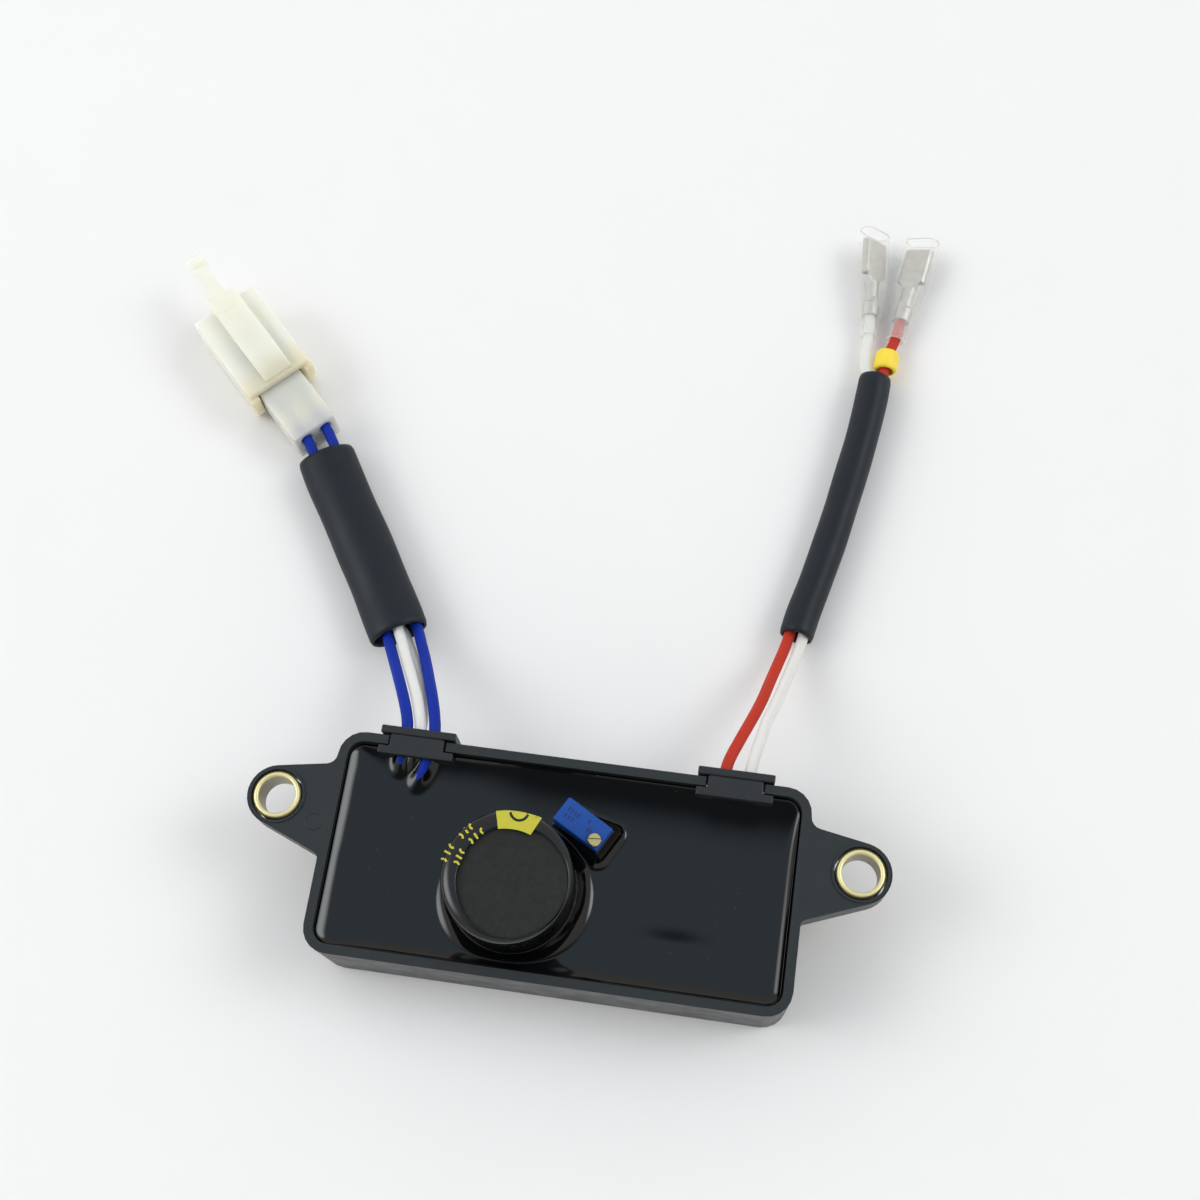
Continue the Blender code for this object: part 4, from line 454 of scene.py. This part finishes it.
def from_cad(node_name, name, material, edge, segments=2, sharp=28.0, body="regulator"):
    """The CAD solid again, with its flat faces whole and its edges softened."""
    source = nodes[node_name]
    bm = bmesh.new()
    bm.from_mesh(source.data)
    bm.transform(source.matrix_world)
    bmesh.ops.remove_doubles(bm, verts=bm.verts, dist=2e-6)
    bmesh.ops.dissolve_limit(bm, angle_limit=math.radians(0.8), verts=bm.verts, edges=bm.edges)
    edges = [e for e in bm.edges if len(e.link_faces) == 2 and e.calc_face_angle() > math.radians(sharp)]
    bmesh.ops.bevel(bm, geom=edges, offset=edge, segments=segments, profile=0.5, affect="EDGES",
                    clamp_overlap=True)
    obj = mesh_object(name, bm, [material], body, weighted=True)
    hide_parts(node_name)
    return obj


def join_rings(bm, rings):
    """Faces between closed rings that follow one another."""
    for near, far in zip(rings, rings[1:]):
        for k in range(len(near)):
            j = (k + 1) % len(near)
            bm.faces.new((near[k], near[j], far[j], far[k]))


def join_rows(bm, rows):
    """Faces between open rows that follow one another."""
    for near, far in zip(rows, rows[1:]):
        for i in range(len(near) - 1):
            bm.faces.new((near[i], near[i + 1], far[i + 1], far[i]))


def drop_skirt(bm, height):
    """A skirt from the mesh's border down to a height, so that no gap shows beside it."""
    border = [e for e in bm.edges if e.is_boundary]
    skirt = bmesh.ops.extrude_edge_only(bm, edges=border)["geom"]
    for vertex in (v for v in skirt if isinstance(v, bmesh.types.BMVert)):
        vertex.co.z = height


def sweep(bm, points, section, sides):
    """Rings of section(i, angle) -> (across, up) along the points, joined by faces."""
    rings = []
    for i, point in enumerate(points):
        a, b = points[max(i - 1, 0)], points[min(i + 1, len(points) - 1)]
        along = (b - a).normalized()
        across = along.cross(Vector((0, 0, 1))).normalized()
        up = across.cross(along)
        ring = []
        for k in range(sides):
            x, z = section(i, 2 * math.pi * k / sides)
            ring.append(bm.verts.new(point + across * x + up * z))
        rings.append(ring)
    join_rings(bm, rings)
    return rings


# Cords

WIRES = {
    "blue_wire_1": (BLUE_WIRE_1, WIRE_BLUE, "blue_insulation"),
    "blue_wire_2": (BLUE_WIRE_2, WIRE_BLUE, "blue_insulation"),
    "white_wire_1": (WHITE_WIRE_1, WIRE_WHITE, "white_insulation"),
    "white_wire_2": (WHITE_WIRE_2, WIRE_WHITE, "white_insulation"),
    "red_wire": (RED_WIRE, WIRE_RED, "red_insulation"),
    "brush_white_wire": (BRUSH_WHITE_WIRE, WIRE_WHITE, "white_insulation"),
}


def make_wire(node_name):
    route, material, slot = WIRES[node_name]
    points = smooth_route(route, 0.0010)
    curve = bpy.data.curves.new(f"{node_name}_insulation", "CURVE")
    curve.dimensions = "3D"
    curve.bevel_depth = WIRE_RADIUS
    curve.bevel_resolution = 6
    curve.use_fill_caps = True
    spline = curve.splines.new("POLY")
    spline.points.add(len(points) - 1)
    for knot, point in zip(spline.points, points):
        knot.co = (*point, 1.0)
    spline.use_smooth = True
    obj = place_object(f"{node_name}_insulation", curve, [material])
    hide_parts(node_name)
    exit_point = min(points, key=lambda p: abs(p.y - CLIP_FACE))
    return obj, exit_point, route_length(points)


def make_sleeve(node_name, name, route, width, height, ridge):
    """A soft tube round the leads, open at both ends, that shows a little of what lies in it."""
    outside = smooth_route(route, 0.0008)
    last = len(outside) - 1
    bm = bmesh.new()

    def outer(i, angle):
        ease = 1.0 + 0.010 * math.sin(i * 0.31 + 2.0 * math.sin(angle)) + ridge * math.cos(4 * angle + 0.6)
        end = min(i, last - i)
        lip = 1.0 - 0.5 * SLEEVE_WALL / height * max(0.0, 1.0 - end / 1.0)
        return math.cos(angle) * width / 2 * ease * lip, math.sin(angle) * height / 2 * ease * lip

    def inner(i, angle):
        x, z = outer(5, angle)
        return x * (1 - 2 * SLEEVE_WALL / width), z * (1 - 2 * SLEEVE_WALL / height)

    rings = sweep(bm, outside, outer, 40)
    for end in (0, -1):
        points = outside[:10] if end == 0 else outside[-10:]
        inside = sweep(bm, points, inner, 40)
        join_rings(bm, [rings[end], inside[end]])
    obj = mesh_object(name, bm, [SLEEVE_BLACK])
    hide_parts(node_name)
    return obj


def make_marker():
    points = smooth_route(MARKER_ROUTE, 0.0003)
    last = len(points) - 1
    bm = bmesh.new()

    def outer(i, angle):
        end = min(i, last - i)
        lip = 1.0 - 0.16 * max(0.0, 1.0 - end / 3.0) ** 2
        radius = MARKER_RADIUS * lip * (1.0 + 0.02 * math.sin(3 * angle + 0.4 * i))
        return math.cos(angle) * radius, math.sin(angle) * radius

    def inner(i, angle):
        radius = MARKER_RADIUS - MARKER_WALL
        return math.cos(angle) * radius, math.sin(angle) * radius

    rings = sweep(bm, points, outer, 36)
    bores = sweep(bm, points, inner, 36)
    for end in (0, -1):
        join_rings(bm, [rings[end], bores[end]])
    obj = mesh_object("wire_marker_ring", bm, [MARKER_YELLOW])
    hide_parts("wire_marker")
    return obj


shell = from_cad("connector_shell", "connector_shell_moulding", IVORY, 0.00050, 3)
plug = from_cad("connector_plug", "connector_plug_moulding", NATURAL, 0.00025, 2)
red_terminal = from_cad("red_spade_terminal", "red_terminal_metal", TINNED, 0.00005, 1)
white_terminal = from_cad("white_spade_terminal", "white_terminal_metal", TINNED, 0.00005, 1)
red_clear = from_cad("red_clear_sleeve", "red_terminal_sleeve", CLEAR, 0.00005, 1)
white_clear = from_cad("white_clear_sleeve", "white_terminal_sleeve", CLEAR, 0.00005, 1)
for piece, tip, turn in ((red_clear, RED_TIP, RED_TURN), (white_clear, WHITE_TIP, WHITE_TURN)):
    piece.data.materials.append(CLEAR_EDGE)
    ahead = Vector((-math.sin(turn), math.cos(turn), 0.0))
    for face in piece.data.polygons:
        along = (face.center - Vector(tip)).dot(ahead)
        if abs(along) < 0.0001 or abs(along + CLEAR_SLEEVE_LENGTH) < 0.0002:
            face.material_index = 1
left_sleeve = make_sleeve("left_sleeve", "left_lead_sleeve", LEFT_SLEEVE_ROUTE, LEFT_SLEEVE_WIDTH,
                          LEFT_SLEEVE_HEIGHT, 0.012)
right_sleeve = make_sleeve("right_sleeve", "right_lead_sleeve", RIGHT_SLEEVE_ROUTE, RIGHT_SLEEVE_DIAMETER,
                           RIGHT_SLEEVE_DIAMETER, 0.008)
marker = make_marker()

CORD_ENDS = {
    "blue_wire_1": ("connector", [shell, plug, nodes["contact_upper_left"], left_sleeve]),
    "blue_wire_2": ("connector", [shell, plug, nodes["contact_upper_right"], left_sleeve]),
    "white_wire_1": ("connector", [shell, plug, nodes["contact_lower_right"], left_sleeve]),
    "white_wire_2": ("connector", [shell, plug, nodes["contact_lower_left"], left_sleeve]),
    "red_wire": ("connector", [red_terminal, red_clear, marker, right_sleeve]),
    "brush_white_wire": ("connector", [white_terminal, white_clear, right_sleeve]),
}
for node_name, (far_end, on_it) in CORD_ENDS.items():
    wire, exit_point, length = make_wire(node_name)


# Housing, bushes and clips

def make_bush(side):
    """The turned bush: a narrow bright land on top, a rounded mouth and a bore in a darker, duller brass
    that is painted shade inside the hole.
    """
    sign = -1 if side == "left" else 1
    bore, outer, top, bottom = BUSH_BORE_RADIUS, BUSH_RADIUS, BUSH_TOP, BUSH_BOTTOM
    profile = [
        (bore, bottom + 0.0002), (bore, top - 0.00045), (bore + 0.00004, top - 0.00022),
        (bore + 0.00012, top - 0.00008), (bore + 0.00024, top), (outer - 0.00036, top),
        (outer - 0.00028, top - 0.00006), (outer - 0.00024, top - 0.00030), (outer, top - 0.00036),
        (outer, bottom + 0.0002), (outer - 0.0002, bottom), (bore + 0.0002, bottom),
    ]
    steps = 96
    bm = bmesh.new()
    rings = []
    for radius, height in profile:
        ring = []
        for k in range(steps):
            angle = 2 * math.pi * k / steps
            x = sign * BOLT_X + radius * math.cos(angle)
            y = BOLT_Y + radius * math.sin(angle)
            ring.append(bm.verts.new((x, y, height)))
        rings.append(ring)
    for i, near in enumerate(rings):
        far = rings[(i + 1) % len(rings)]
        for k in range(steps):
            j = (k + 1) % steps
            face = bm.faces.new((near[k], near[j], far[j], far[k]))
            # The bore wall and its lower edge take the darker brass, which is painted shade in the hole
            face.material_index = 1 if i in (0, len(rings) - 1) else 0
    obj = mesh_object(f"{side}_bush_turned", bm, [BRASS, BORE], weighted=True)
    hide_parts(f"{side}_bush")


from_cad("housing", "housing_moulding", HOUSING_BLACK, 0.00022, 3)
for side in ("left", "right"):
    make_bush(side)
    from_cad(f"{side}_wire_clip", f"{side}_clip_moulding", CLIP_GREY, 0.00012, 2)


def close_clip_gaps(side, centre):
    """Small blocks in the compound's black, low in the gaps between a clip and its notch, that keep the
    floor from showing through the gaps.
    """
    bm = bmesh.new()
    for gap in (centre - CLIP_GAP, centre + CLIP_GAP):
        place = Matrix.Translation((gap, TRAY_WIDTH / 2 - WALL / 2, GAP_BLOCK_MIDDLE))
        bmesh.ops.create_cube(bm, size=1.0, matrix=place @ Matrix.Diagonal((*GAP_BLOCK_SIZE, 1.0)))
    mesh_object(f"{side}_clip_gap_block", bm, [POTTING], flat=True)


close_clip_gaps("left", -CLIP_CENTRE)
close_clip_gaps("right", CLIP_CENTRE)


def make_ring_mark():
    """The faint round mark of an ejector pin on the left ear."""
    bm = bmesh.new()
    centre = Vector(EJECTOR_MARK)
    rings = []
    for radius, rise in ((0.00142, 0.0), (0.00144, 0.00003), (0.00150, 0.00003), (0.00152, 0.0)):
        ring = []
        for k in range(48):
            angle = 2 * math.pi * k / 48
            place = Vector((math.cos(angle) * radius, math.sin(angle) * radius, rise))
            ring.append(bm.verts.new(centre + place))
        rings.append(ring)
    join_rings(bm, rings)
    mesh_object("ejector_mark", bm, [SKIN_BLACK])


make_ring_mark()


# Potting compound

def wall_distance(x, y):
    """How far a place on the compound is from the tray's inner wall."""
    radius = CORNER_RADIUS - FILL_INSET
    qx = abs(x) - (TRAY_LENGTH / 2 - CORNER_RADIUS)
    qy = abs(y) - (TRAY_WIDTH / 2 - CORNER_RADIUS)
    return radius - math.hypot(max(qx, 0.0), max(qy, 0.0)) - min(max(qx, qy), 0.0)


def beside_trimmer(x, y):
    """A place on the compound in the trimmer's own axes."""
    return Matrix.Rotation(-TRIMMER_TURN, 2) @ Vector((x - TRIMMER_X, y - TRIMMER_Y))


def trimmer_distance(x, y):
    """How far a place on the compound is from the trimmer's body."""
    local = beside_trimmer(x, y)
    qx = abs(local.x) - TRIMMER_LENGTH / 2
    qy = abs(local.y) - TRIMMER_WIDTH / 2
    return math.hypot(max(qx, 0.0), max(qy, 0.0)) + min(max(qx, qy), 0.0)


COVERED = []
CRESTS = []
for lead_name, (route, _, _) in WIRES.items():
    home = CRESTS if lead_name.startswith("blue") else COVERED
    home += [p for p in smooth_route(route, 0.0004) if p.y < 0.0172 and p.z > 0.0120]


def wire_rise(x, y):
    """The compound covers the leads where they leave it, but for the crests of the two blue ones."""
    rise = 0.0
    for p in COVERED:
        d = (x - p.x) ** 2 + (y - p.y) ** 2
        if d < 20e-6:
            cover = min(p.z + WIRE_RADIUS + 0.00015, 0.0184) - POTTING_TOP
            rise = max(rise, cover * math.exp(-d / 4.0e-6))
    for p in CRESTS:
        d = (x - p.x) ** 2 + (y - p.y) ** 2
        if d < 12e-6:
            cover = min(p.z + 0.00099, 0.0181) - POTTING_TOP
            rise = max(rise, cover * math.exp(-d / 3.0e-6))
    return rise


def creep(distance, height, reach):
    """How high the compound has crept up a wall: steep at the wall, and level again beyond its reach."""
    return height * max(0.0, 1.0 - max(distance, 0.0) / reach) ** 1.7


def potting_height(x, y):
    """The compound's surface: level in the open, and risen at the walls and at what stands in it."""
    from_left = max(x + TRAY_LENGTH / 2 - FILL_INSET, 0.0)
    from_far = max(TRAY_WIDTH / 2 - FILL_INSET - y, 0.0)
    uneven = 1.0 - 0.03 * y / (TRAY_WIDTH / 2) + 0.10 * noise.noise(Vector((0.0, y * 180.0, 0.7)))
    left = LEFT_RISE * uneven * math.exp(-from_left / LEFT_REACH)
    past_leads = min(max((x + 0.0210) / 0.0150, 0.0), 1.0)
    past_leads *= past_leads * (3.0 - 2.0 * past_leads)
    far_rise = FAR_RISE + PAST_LEADS_RISE * past_leads
    far = far_rise * math.exp(-from_far / (FAR_REACH + PAST_LEADS_REACH * past_leads))
    beside_bank = abs(x - BANK_MIDDLE) / BANK_HALF_WIDTH
    bank = BANK_RISE * math.exp(-from_far / BANK_REACH) / (1.0 + beside_bank**6)
    wall = WALL_RISE * math.exp(-max(wall_distance(x, y), 0.0) / WALL_REACH)
    can = math.hypot(x - CAPACITOR_X, y - CAPACITOR_Y) - SLEEVE_RADIUS
    toward = math.atan2(y - CAPACITOR_Y, x - CAPACITOR_X)
    right = max(0.0, math.cos(toward + 0.2)) ** 1.5
    near_left = max(0.0, math.cos(toward - 3.8)) ** 2
    can_rise = CAN_RISE + CAN_RIGHT_RISE * right + CAN_NEAR_LEFT_RISE * near_left
    can_reach = CAN_REACH + CAN_RIGHT_REACH * right + CAN_NEAR_LEFT_REACH * near_left
    collar = creep(can, can_rise, can_reach)
    share = beside_trimmer(x, y).x / TRIMMER_LENGTH + 0.5
    share = min(max(share, 0.0), 1.0) ** 2
    block_rise = TRIMMER_RISE + SCREW_END_RISE * share
    block = creep(trimmer_distance(x, y), block_rise, TRIMMER_REACH + SCREW_END_REACH * share)
    leads = 0.0 if x > 0.0 else wire_rise(x, y)
    rise = sum(part**3 for part in (left, far, bank, wall, collar, block, leads)) ** (1 / 3)
    along, across = (x - DIMPLE_X) / DIMPLE_LENGTH, (y - DIMPLE_Y) / DIMPLE_WIDTH
    dimple = DIMPLE_DEPTH * math.exp(-(along**2) - across**2)
    wave = noise.noise(Vector((x * 90.0, y * 90.0, 0.3))) * 0.00002
    return POTTING_TOP + rise - dimple + wave


def graded(half, fine, coarse):
    """Places from -half to half, close together at the ends."""
    steps, at, step = [0.0], 0.0, fine
    while at < half:
        at += step
        step = min(coarse, step * 1.12)
        steps.append(at)
    scale = half / steps[-1]
    left = [-half + s * scale for s in steps]
    return left[:-1] + [0.0] + [-x for x in reversed(left[:-1])]


def make_potting():
    radius = CORNER_RADIUS - FILL_INSET
    half_x, half_y = TRAY_LENGTH / 2 - FILL_INSET, TRAY_WIDTH / 2 - FILL_INSET
    columns = graded(half_x, 0.00012, 0.00025)
    bm = bmesh.new()
    rows = []
    for y in graded(half_y, 0.00010, 0.00023):
        over = abs(y) - (half_y - radius)
        shrink = radius - math.sqrt(max(radius**2 - over**2, 0.0)) if over > 0 else 0.0
        rows.append([bm.verts.new((x * (half_x - shrink) / half_x, y, 0.0)) for x in columns])
    join_rows(bm, rows)
    for vertex in bm.verts:
        vertex.co.z = potting_height(vertex.co.x, vertex.co.y)
    drop_skirt(bm, FILL_FOOT)
    obj = mesh_object("potting_fill", bm, [POTTING])
    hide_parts("potting")


make_potting()


# Filter capacitor

def mouth_radius(angle):
    """Distance from the can's axis to the sleeve's mouth in a direction."""
    away = angle - MOUTH_TURN
    across = MOUTH_SHIFT * math.sin(away)
    edge = MOUTH_SHIFT * math.cos(away) + math.sqrt(MOUTH_RADIUS**2 - across**2)
    wave = 0.00006 * math.sin(3 * angle + 1.0) + 0.00003 * math.sin(8 * angle)
    return min(edge + wave, SLEEVE_RADIUS - 0.00012)


def sleeve_height(radius):
    """The lap is crowned: nearly level at its mouth, then ever steeper to the can's side."""
    share = min(max((radius - LAP_START) / (SLEEVE_RADIUS - LAP_START), 0.0), 1.0)
    return SLEEVE_CROWN - LAP_DROP * (1.0 - (1.0 - share**2.4) ** (1 / 2.4))


CAPACITOR_SIDES = 120


def make_shrunk_sleeve():
    """The sleeve up the can's side, over its crowned lap and round the lip of its mouth."""
    bm = bmesh.new()
    columns = []
    for k in range(CAPACITOR_SIDES):
        angle = 2 * math.pi * k / CAPACITOR_SIDES
        edge = mouth_radius(angle)
        start = edge + LAP_EDGE
        column = [(SLEEVE_RADIUS, z) for z in (SLEEVE_FOOT, 0.0150, 0.0200, 0.0250, 0.0275)]
        for i in range(17):
            radius = start + (SLEEVE_RADIUS - edge - LAP_EDGE) * math.cos(math.pi / 2 * i / 16)
            column.append((radius, sleeve_height(radius)))
        top = column[-1][1]
        column += [(edge + 0.00005, top - 0.00004), (edge, top - 0.00014), (edge, top - 0.00036)]
        x, y = math.cos(angle), math.sin(angle)
        columns.append([(CAPACITOR_X + r * x, CAPACITOR_Y + r * y, z) for r, z in column])
    join_rings(bm, [[bm.verts.new(place) for place in level] for level in zip(*columns)])
    sleeve = mesh_object("capacitor_shrunk_sleeve", bm, [SKIN_BLACK])
    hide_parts("capacitor_sleeve")


def make_end_disc():
    """The disc that the lap holds, slightly crowned, with a skirt under the lap."""
    bm = bmesh.new()
    rings = []
    for step in range(16):
        share = 1 - step / 16
        ring = []
        for k in range(CAPACITOR_SIDES):
            angle = 2 * math.pi * k / CAPACITOR_SIDES
            radius = min(mouth_radius(angle) + DISC_UNDER_LAP, DISC_LIMIT) * share
            x, y = CAPACITOR_X + radius * math.cos(angle), CAPACITOR_Y + radius * math.sin(angle)
            grain = noise.noise(Vector((x * 300, y * 300, 0))) * 0.00002
            z = DISC_TOP + DISC_CROWN * (1 - share**2) + grain
            ring.append(bm.verts.new((x, y, z)))
        rings.append(ring)
    join_rings(bm, rings)
    bm.faces.new(rings[-1])
    drop_skirt(bm, DISC_TOP - 0.0004)
    disc = mesh_object("capacitor_end_disc", bm, [DISC_BLACK])
    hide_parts("capacitor_top_disc")


make_shrunk_sleeve()
make_end_disc()


def on_sleeve(px, py):
    """The place on the capacitor's lap that a point of the photograph shows."""
    camera = scene.camera.matrix_world
    seen = Vector(((px - PHOTO_MIDDLE) / PHOTO_FOCAL, (PHOTO_MIDDLE - py) / PHOTO_FOCAL, -1.0))
    ray = camera.to_3x3() @ seen
    start = camera.translation
    height = SLEEVE_CROWN
    for _ in range(6):
        point = start + ray * ((height - start.z) / ray.z)
        radius = math.hypot(point.x - CAPACITOR_X, point.y - CAPACITOR_Y)
        height = sleeve_height(min(radius, SLEEVE_RADIUS - 0.00002))
    return point


def make_stroke(name, pixels, width, material, lift=PRINT_LIFT):
    """A printed stroke: a ribbon along points of the photograph, laid on the capacitor's lap."""
    bm = bmesh.new()
    pairs = []
    for i, (px, py) in enumerate(pixels):
        ax, ay = pixels[max(i - 1, 0)]
        bx, by = pixels[min(i + 1, len(pixels) - 1)]
        length = math.hypot(bx - ax, by - ay)
        nx, ny = -(by - ay) / length * width / 2, (bx - ax) / length * width / 2
        row = []
        for k in (-1.0, -0.33, 0.33, 1.0):
            point = on_sleeve(px + nx * k, py + ny * k)
            row.append(bm.verts.new(point + Vector((0, 0, lift))))
        pairs.append(row)
    join_rows(bm, pairs)
    mesh_object(name, bm, [material])


def pixel_arc(px, py, radius, start, end, steps=14):
    angles = [math.radians(start + (end - start) * i / steps) for i in range(steps + 1)]
    return [(px + radius * math.cos(a), py + radius * math.sin(a)) for a in angles]


def blend(a, b, share):
    return (a[0] + (b[0] - a[0]) * share, a[1] + (b[1] - a[1]) * share)


def make_print_block():
    """The printed block on the lap, between two arcs about the can's axis."""
    inner = [(498.0, 829.0), (515.0, 829.6), (530.5, 835.0)]
    outer = [(496.0, 811.0), (519.0, 811.4), (542.0, 818.0)]
    bm = bmesh.new()
    rows = []
    for j in range(19):
        share = j / 18
        a, b, c = [blend(inner[i], outer[i], share) for i in range(3)]
        row = []
        for i in range(31):
            t = i / 30
            px = (1 - t) ** 2 * a[0] + 2 * t * (1 - t) * (2 * b[0] - (a[0] + c[0]) / 2) + t**2 * c[0]
            py = (1 - t) ** 2 * a[1] + 2 * t * (1 - t) * (2 * b[1] - (a[1] + c[1]) / 2) + t**2 * c[1]
            row.append(bm.verts.new(on_sleeve(px, py) + Vector((0, 0, 0.00005))))
        rows.append(row)
    join_rows(bm, rows)
    mesh_object("print_block", bm, [PRINT_YELLOW])


make_print_block()
make_stroke("print_half_ring", pixel_arc(519.5, 811.5, 9.0, 12, 176), 2.6, SKIN_BLACK, lift=0.00009)
OUTER_ROW = [(443.0, 862.0), (447.5, 852.5), (453.0, 844.5), (459.5, 837.5), (466.0, 830.5), (473.0, 825.5)]
INNER_ROW = [(455.5, 865.0), (459.0, 857.0), (463.5, 849.5), (469.0, 842.5), (476.0, 836.0), (484.0, 830.0)]
for row_name, row in (("outer", OUTER_ROW), ("inner", INNER_ROW)):
    for i, (px, py) in enumerate(row):
        inward = math.atan2(890.0 - py, 512.0 - px)
        ix, iy = math.cos(inward), math.sin(inward)
        if i % 3 == 1:
            shape = [(px - 3.4 * ix, py - 3.4 * iy), (px, py), (px + 3.4 * ix, py + 3.4 * iy)]
        else:
            start = math.degrees(inward) + (35 if i % 3 else 215)
            shape = pixel_arc(px, py, 3.3, start, start + 120, 6)
        make_stroke(f"print_{row_name}_{i + 1}", shape, 2.2, PRINT_YELLOW)


# Trimmer

from_cad("trimmer_body", "trimmer_case", TRIMMER_BLUE, 0.00012, 2)
from_cad("trimmer_screw", "trimmer_screw_turned", SCREW_BRASS, 0.00005, 2, body="adjusting_screw")


def on_trimmer(along, across):
    """A place on top of the trimmer, from its middle, in its own directions."""
    x = math.cos(TRIMMER_TURN) * along - math.sin(TRIMMER_TURN) * across
    y = math.sin(TRIMMER_TURN) * along + math.cos(TRIMMER_TURN) * across
    return Vector((TRIMMER_X + x, TRIMMER_Y + y, TRIMMER_TOP))


def make_trimmer_marks():
    """Two rows of short bars printed on the trimmer's top."""
    bm = bmesh.new()
    thickness = 0.00034
    bars = [
        (-0.0036, 0.0007, 0.00042), (-0.0029, 0.0007, 0.00042), (-0.0022, 0.0007, 0.00030),
        (-0.0016, 0.0007, 0.00042), (-0.0035, -0.0005, 0.00036), (-0.0027, -0.0005, 0.00036),
        (-0.0020, -0.0005, 0.00036), (0.0006, 0.0010, 0.00030), (0.0012, -0.0003, 0.00036),
        (0.0018, -0.0003, 0.00030),
    ]
    for start, middle, half in bars:
        end, low, high = start + thickness, middle - half, middle + half
        corners = [(start, low), (end, low), (end, high), (start, high)]
        points = [on_trimmer(*corner) + Vector((0, 0, PRINT_LIFT)) for corner in corners]
        bm.faces.new([bm.verts.new(point) for point in points])
    mesh_object("trimmer_print", bm, [MARK_BLUE], flat=True)


make_trimmer_marks()


# Pieces that stay out of sight keep their CAD solids

HIDDEN = {
    "circuit_board": LAMINATE, "capacitor_can": ALUMINIUM, "rectifier_diode_1": PART_BLACK,
    "rectifier_diode_2": PART_BLACK, "rectifier_diode_3": PART_BLACK, "rectifier_diode_4": PART_BLACK,
    "flyback_diode": PART_BLACK, "zener_diode": FILM, "control_transistor": PART_BLACK,
    "power_transistor": PART_BLACK, "dropper_resistor": RESISTOR, "resistor_1": RESISTOR,
    "resistor_2": RESISTOR, "resistor_3": RESISTOR, "film_capacitor": FILM, "contact_upper_left": TINNED,
    "contact_upper_right": TINNED, "contact_lower_left": TINNED, "contact_lower_right": TINNED,
}
for node_name, material in HIDDEN.items():
    for used in nodes[node_name].material_slots:
        used.material = material


# Floor and light

def make_stage():
    bm = bmesh.new()
    bmesh.ops.create_grid(bm, x_segments=1, y_segments=1, size=2.0)
    mesh = bpy.data.meshes.new("floor")
    bm.to_mesh(mesh)
    bm.free()
    floor = bpy.data.objects.new("floor", mesh)
    floor.location = (0.0, 0.0, -0.00015)
    scene.collection.objects.link(floor)
    mesh.materials.append(FLOOR)


def area_light(name, place, target, size, power):
    data = bpy.data.lights.new(name, "AREA")
    data.energy = power
    data.size = size
    light = bpy.data.objects.new(name, data)
    light.location = place
    ahead = Vector(target) - Vector(place)
    light.rotation_euler = ahead.to_track_quat("-Z", "Y").to_euler()
    light.visible_glossy = False
    scene.collection.objects.link(light)


def make_world():
    """A pale room with a soft bright window to each side and the dark photographer by the camera."""
    world = bpy.data.worlds.new("room")
    world.use_nodes = True
    tree = world.node_tree
    link = tree.links.new
    where = tree.nodes.new("ShaderNodeTexCoord")
    split = tree.nodes.new("ShaderNodeSeparateXYZ")
    link(where.outputs["Generated"], split.inputs["Vector"])

    def ramp(source, start, end, low, high):
        node = tree.nodes.new("ShaderNodeMapRange")
        node.interpolation_type = "SMOOTHSTEP"
        node.inputs["From Min"].default_value = start
        node.inputs["From Max"].default_value = end
        node.inputs["To Min"].default_value = low
        node.inputs["To Max"].default_value = high
        link(source, node.inputs["Value"])
        return node.outputs["Result"]

    def combine(operation, a, b):
        node = tree.nodes.new("ShaderNodeMath")
        node.operation = operation
        link(a, node.inputs[0])
        link(b, node.inputs[1])
        return node.outputs["Value"]

    def toward(direction, start, end, low, high):
        node = tree.nodes.new("ShaderNodeVectorMath")
        node.operation = "DOT_PRODUCT"
        node.inputs[1].default_value = direction
        link(where.outputs["Generated"], node.inputs[0])
        return ramp(node.outputs["Value"], start, end, low, high)

    def tinted(colour, strength):
        node = tree.nodes.new("ShaderNodeVectorMath")
        node.operation = "SCALE"
        node.inputs[0].default_value = colour
        link(strength, node.inputs["Scale"])
        return node.outputs["Vector"]

    def together(a, b):
        node = tree.nodes.new("ShaderNodeVectorMath")
        link(a, node.inputs[0])
        link(b, node.inputs[1])
        return node.outputs["Vector"]

    room = toward((0.02, -0.44, 0.90), 0.83, 0.97, 0.70, 0.13)
    ceiling = combine("MULTIPLY", room, ramp(split.outputs["Z"], 0.72, 0.96, 0.0, 1.0))
    walls = combine("MULTIPLY", room, ramp(split.outputs["Z"], 0.72, 0.96, 1.0, 0.0))
    light = together(tinted((0.84, 1.02, 1.18), ceiling), tinted((1.05, 1.0, 0.955), walls))
    light = together(light, tinted((0.95, 1.0, 1.03), toward((-0.78, -0.08, 0.62), 0.93, 1.0, 0.0, 4.2)))
    light = together(light, tinted((0.95, 1.0, 1.03), toward((0.71, 0.20, 0.68), 0.950, 1.0, 0.0, 4.9)))
    link(light, tree.nodes["Background"].inputs["Color"])
    scene.world = world


make_stage()
make_world()
area_light("left_softbox", (-0.62, 0.30, 0.62), (0.0, 0.05, 0.0), 0.90, 1.0)
scene.view_settings.view_transform = "Standard"
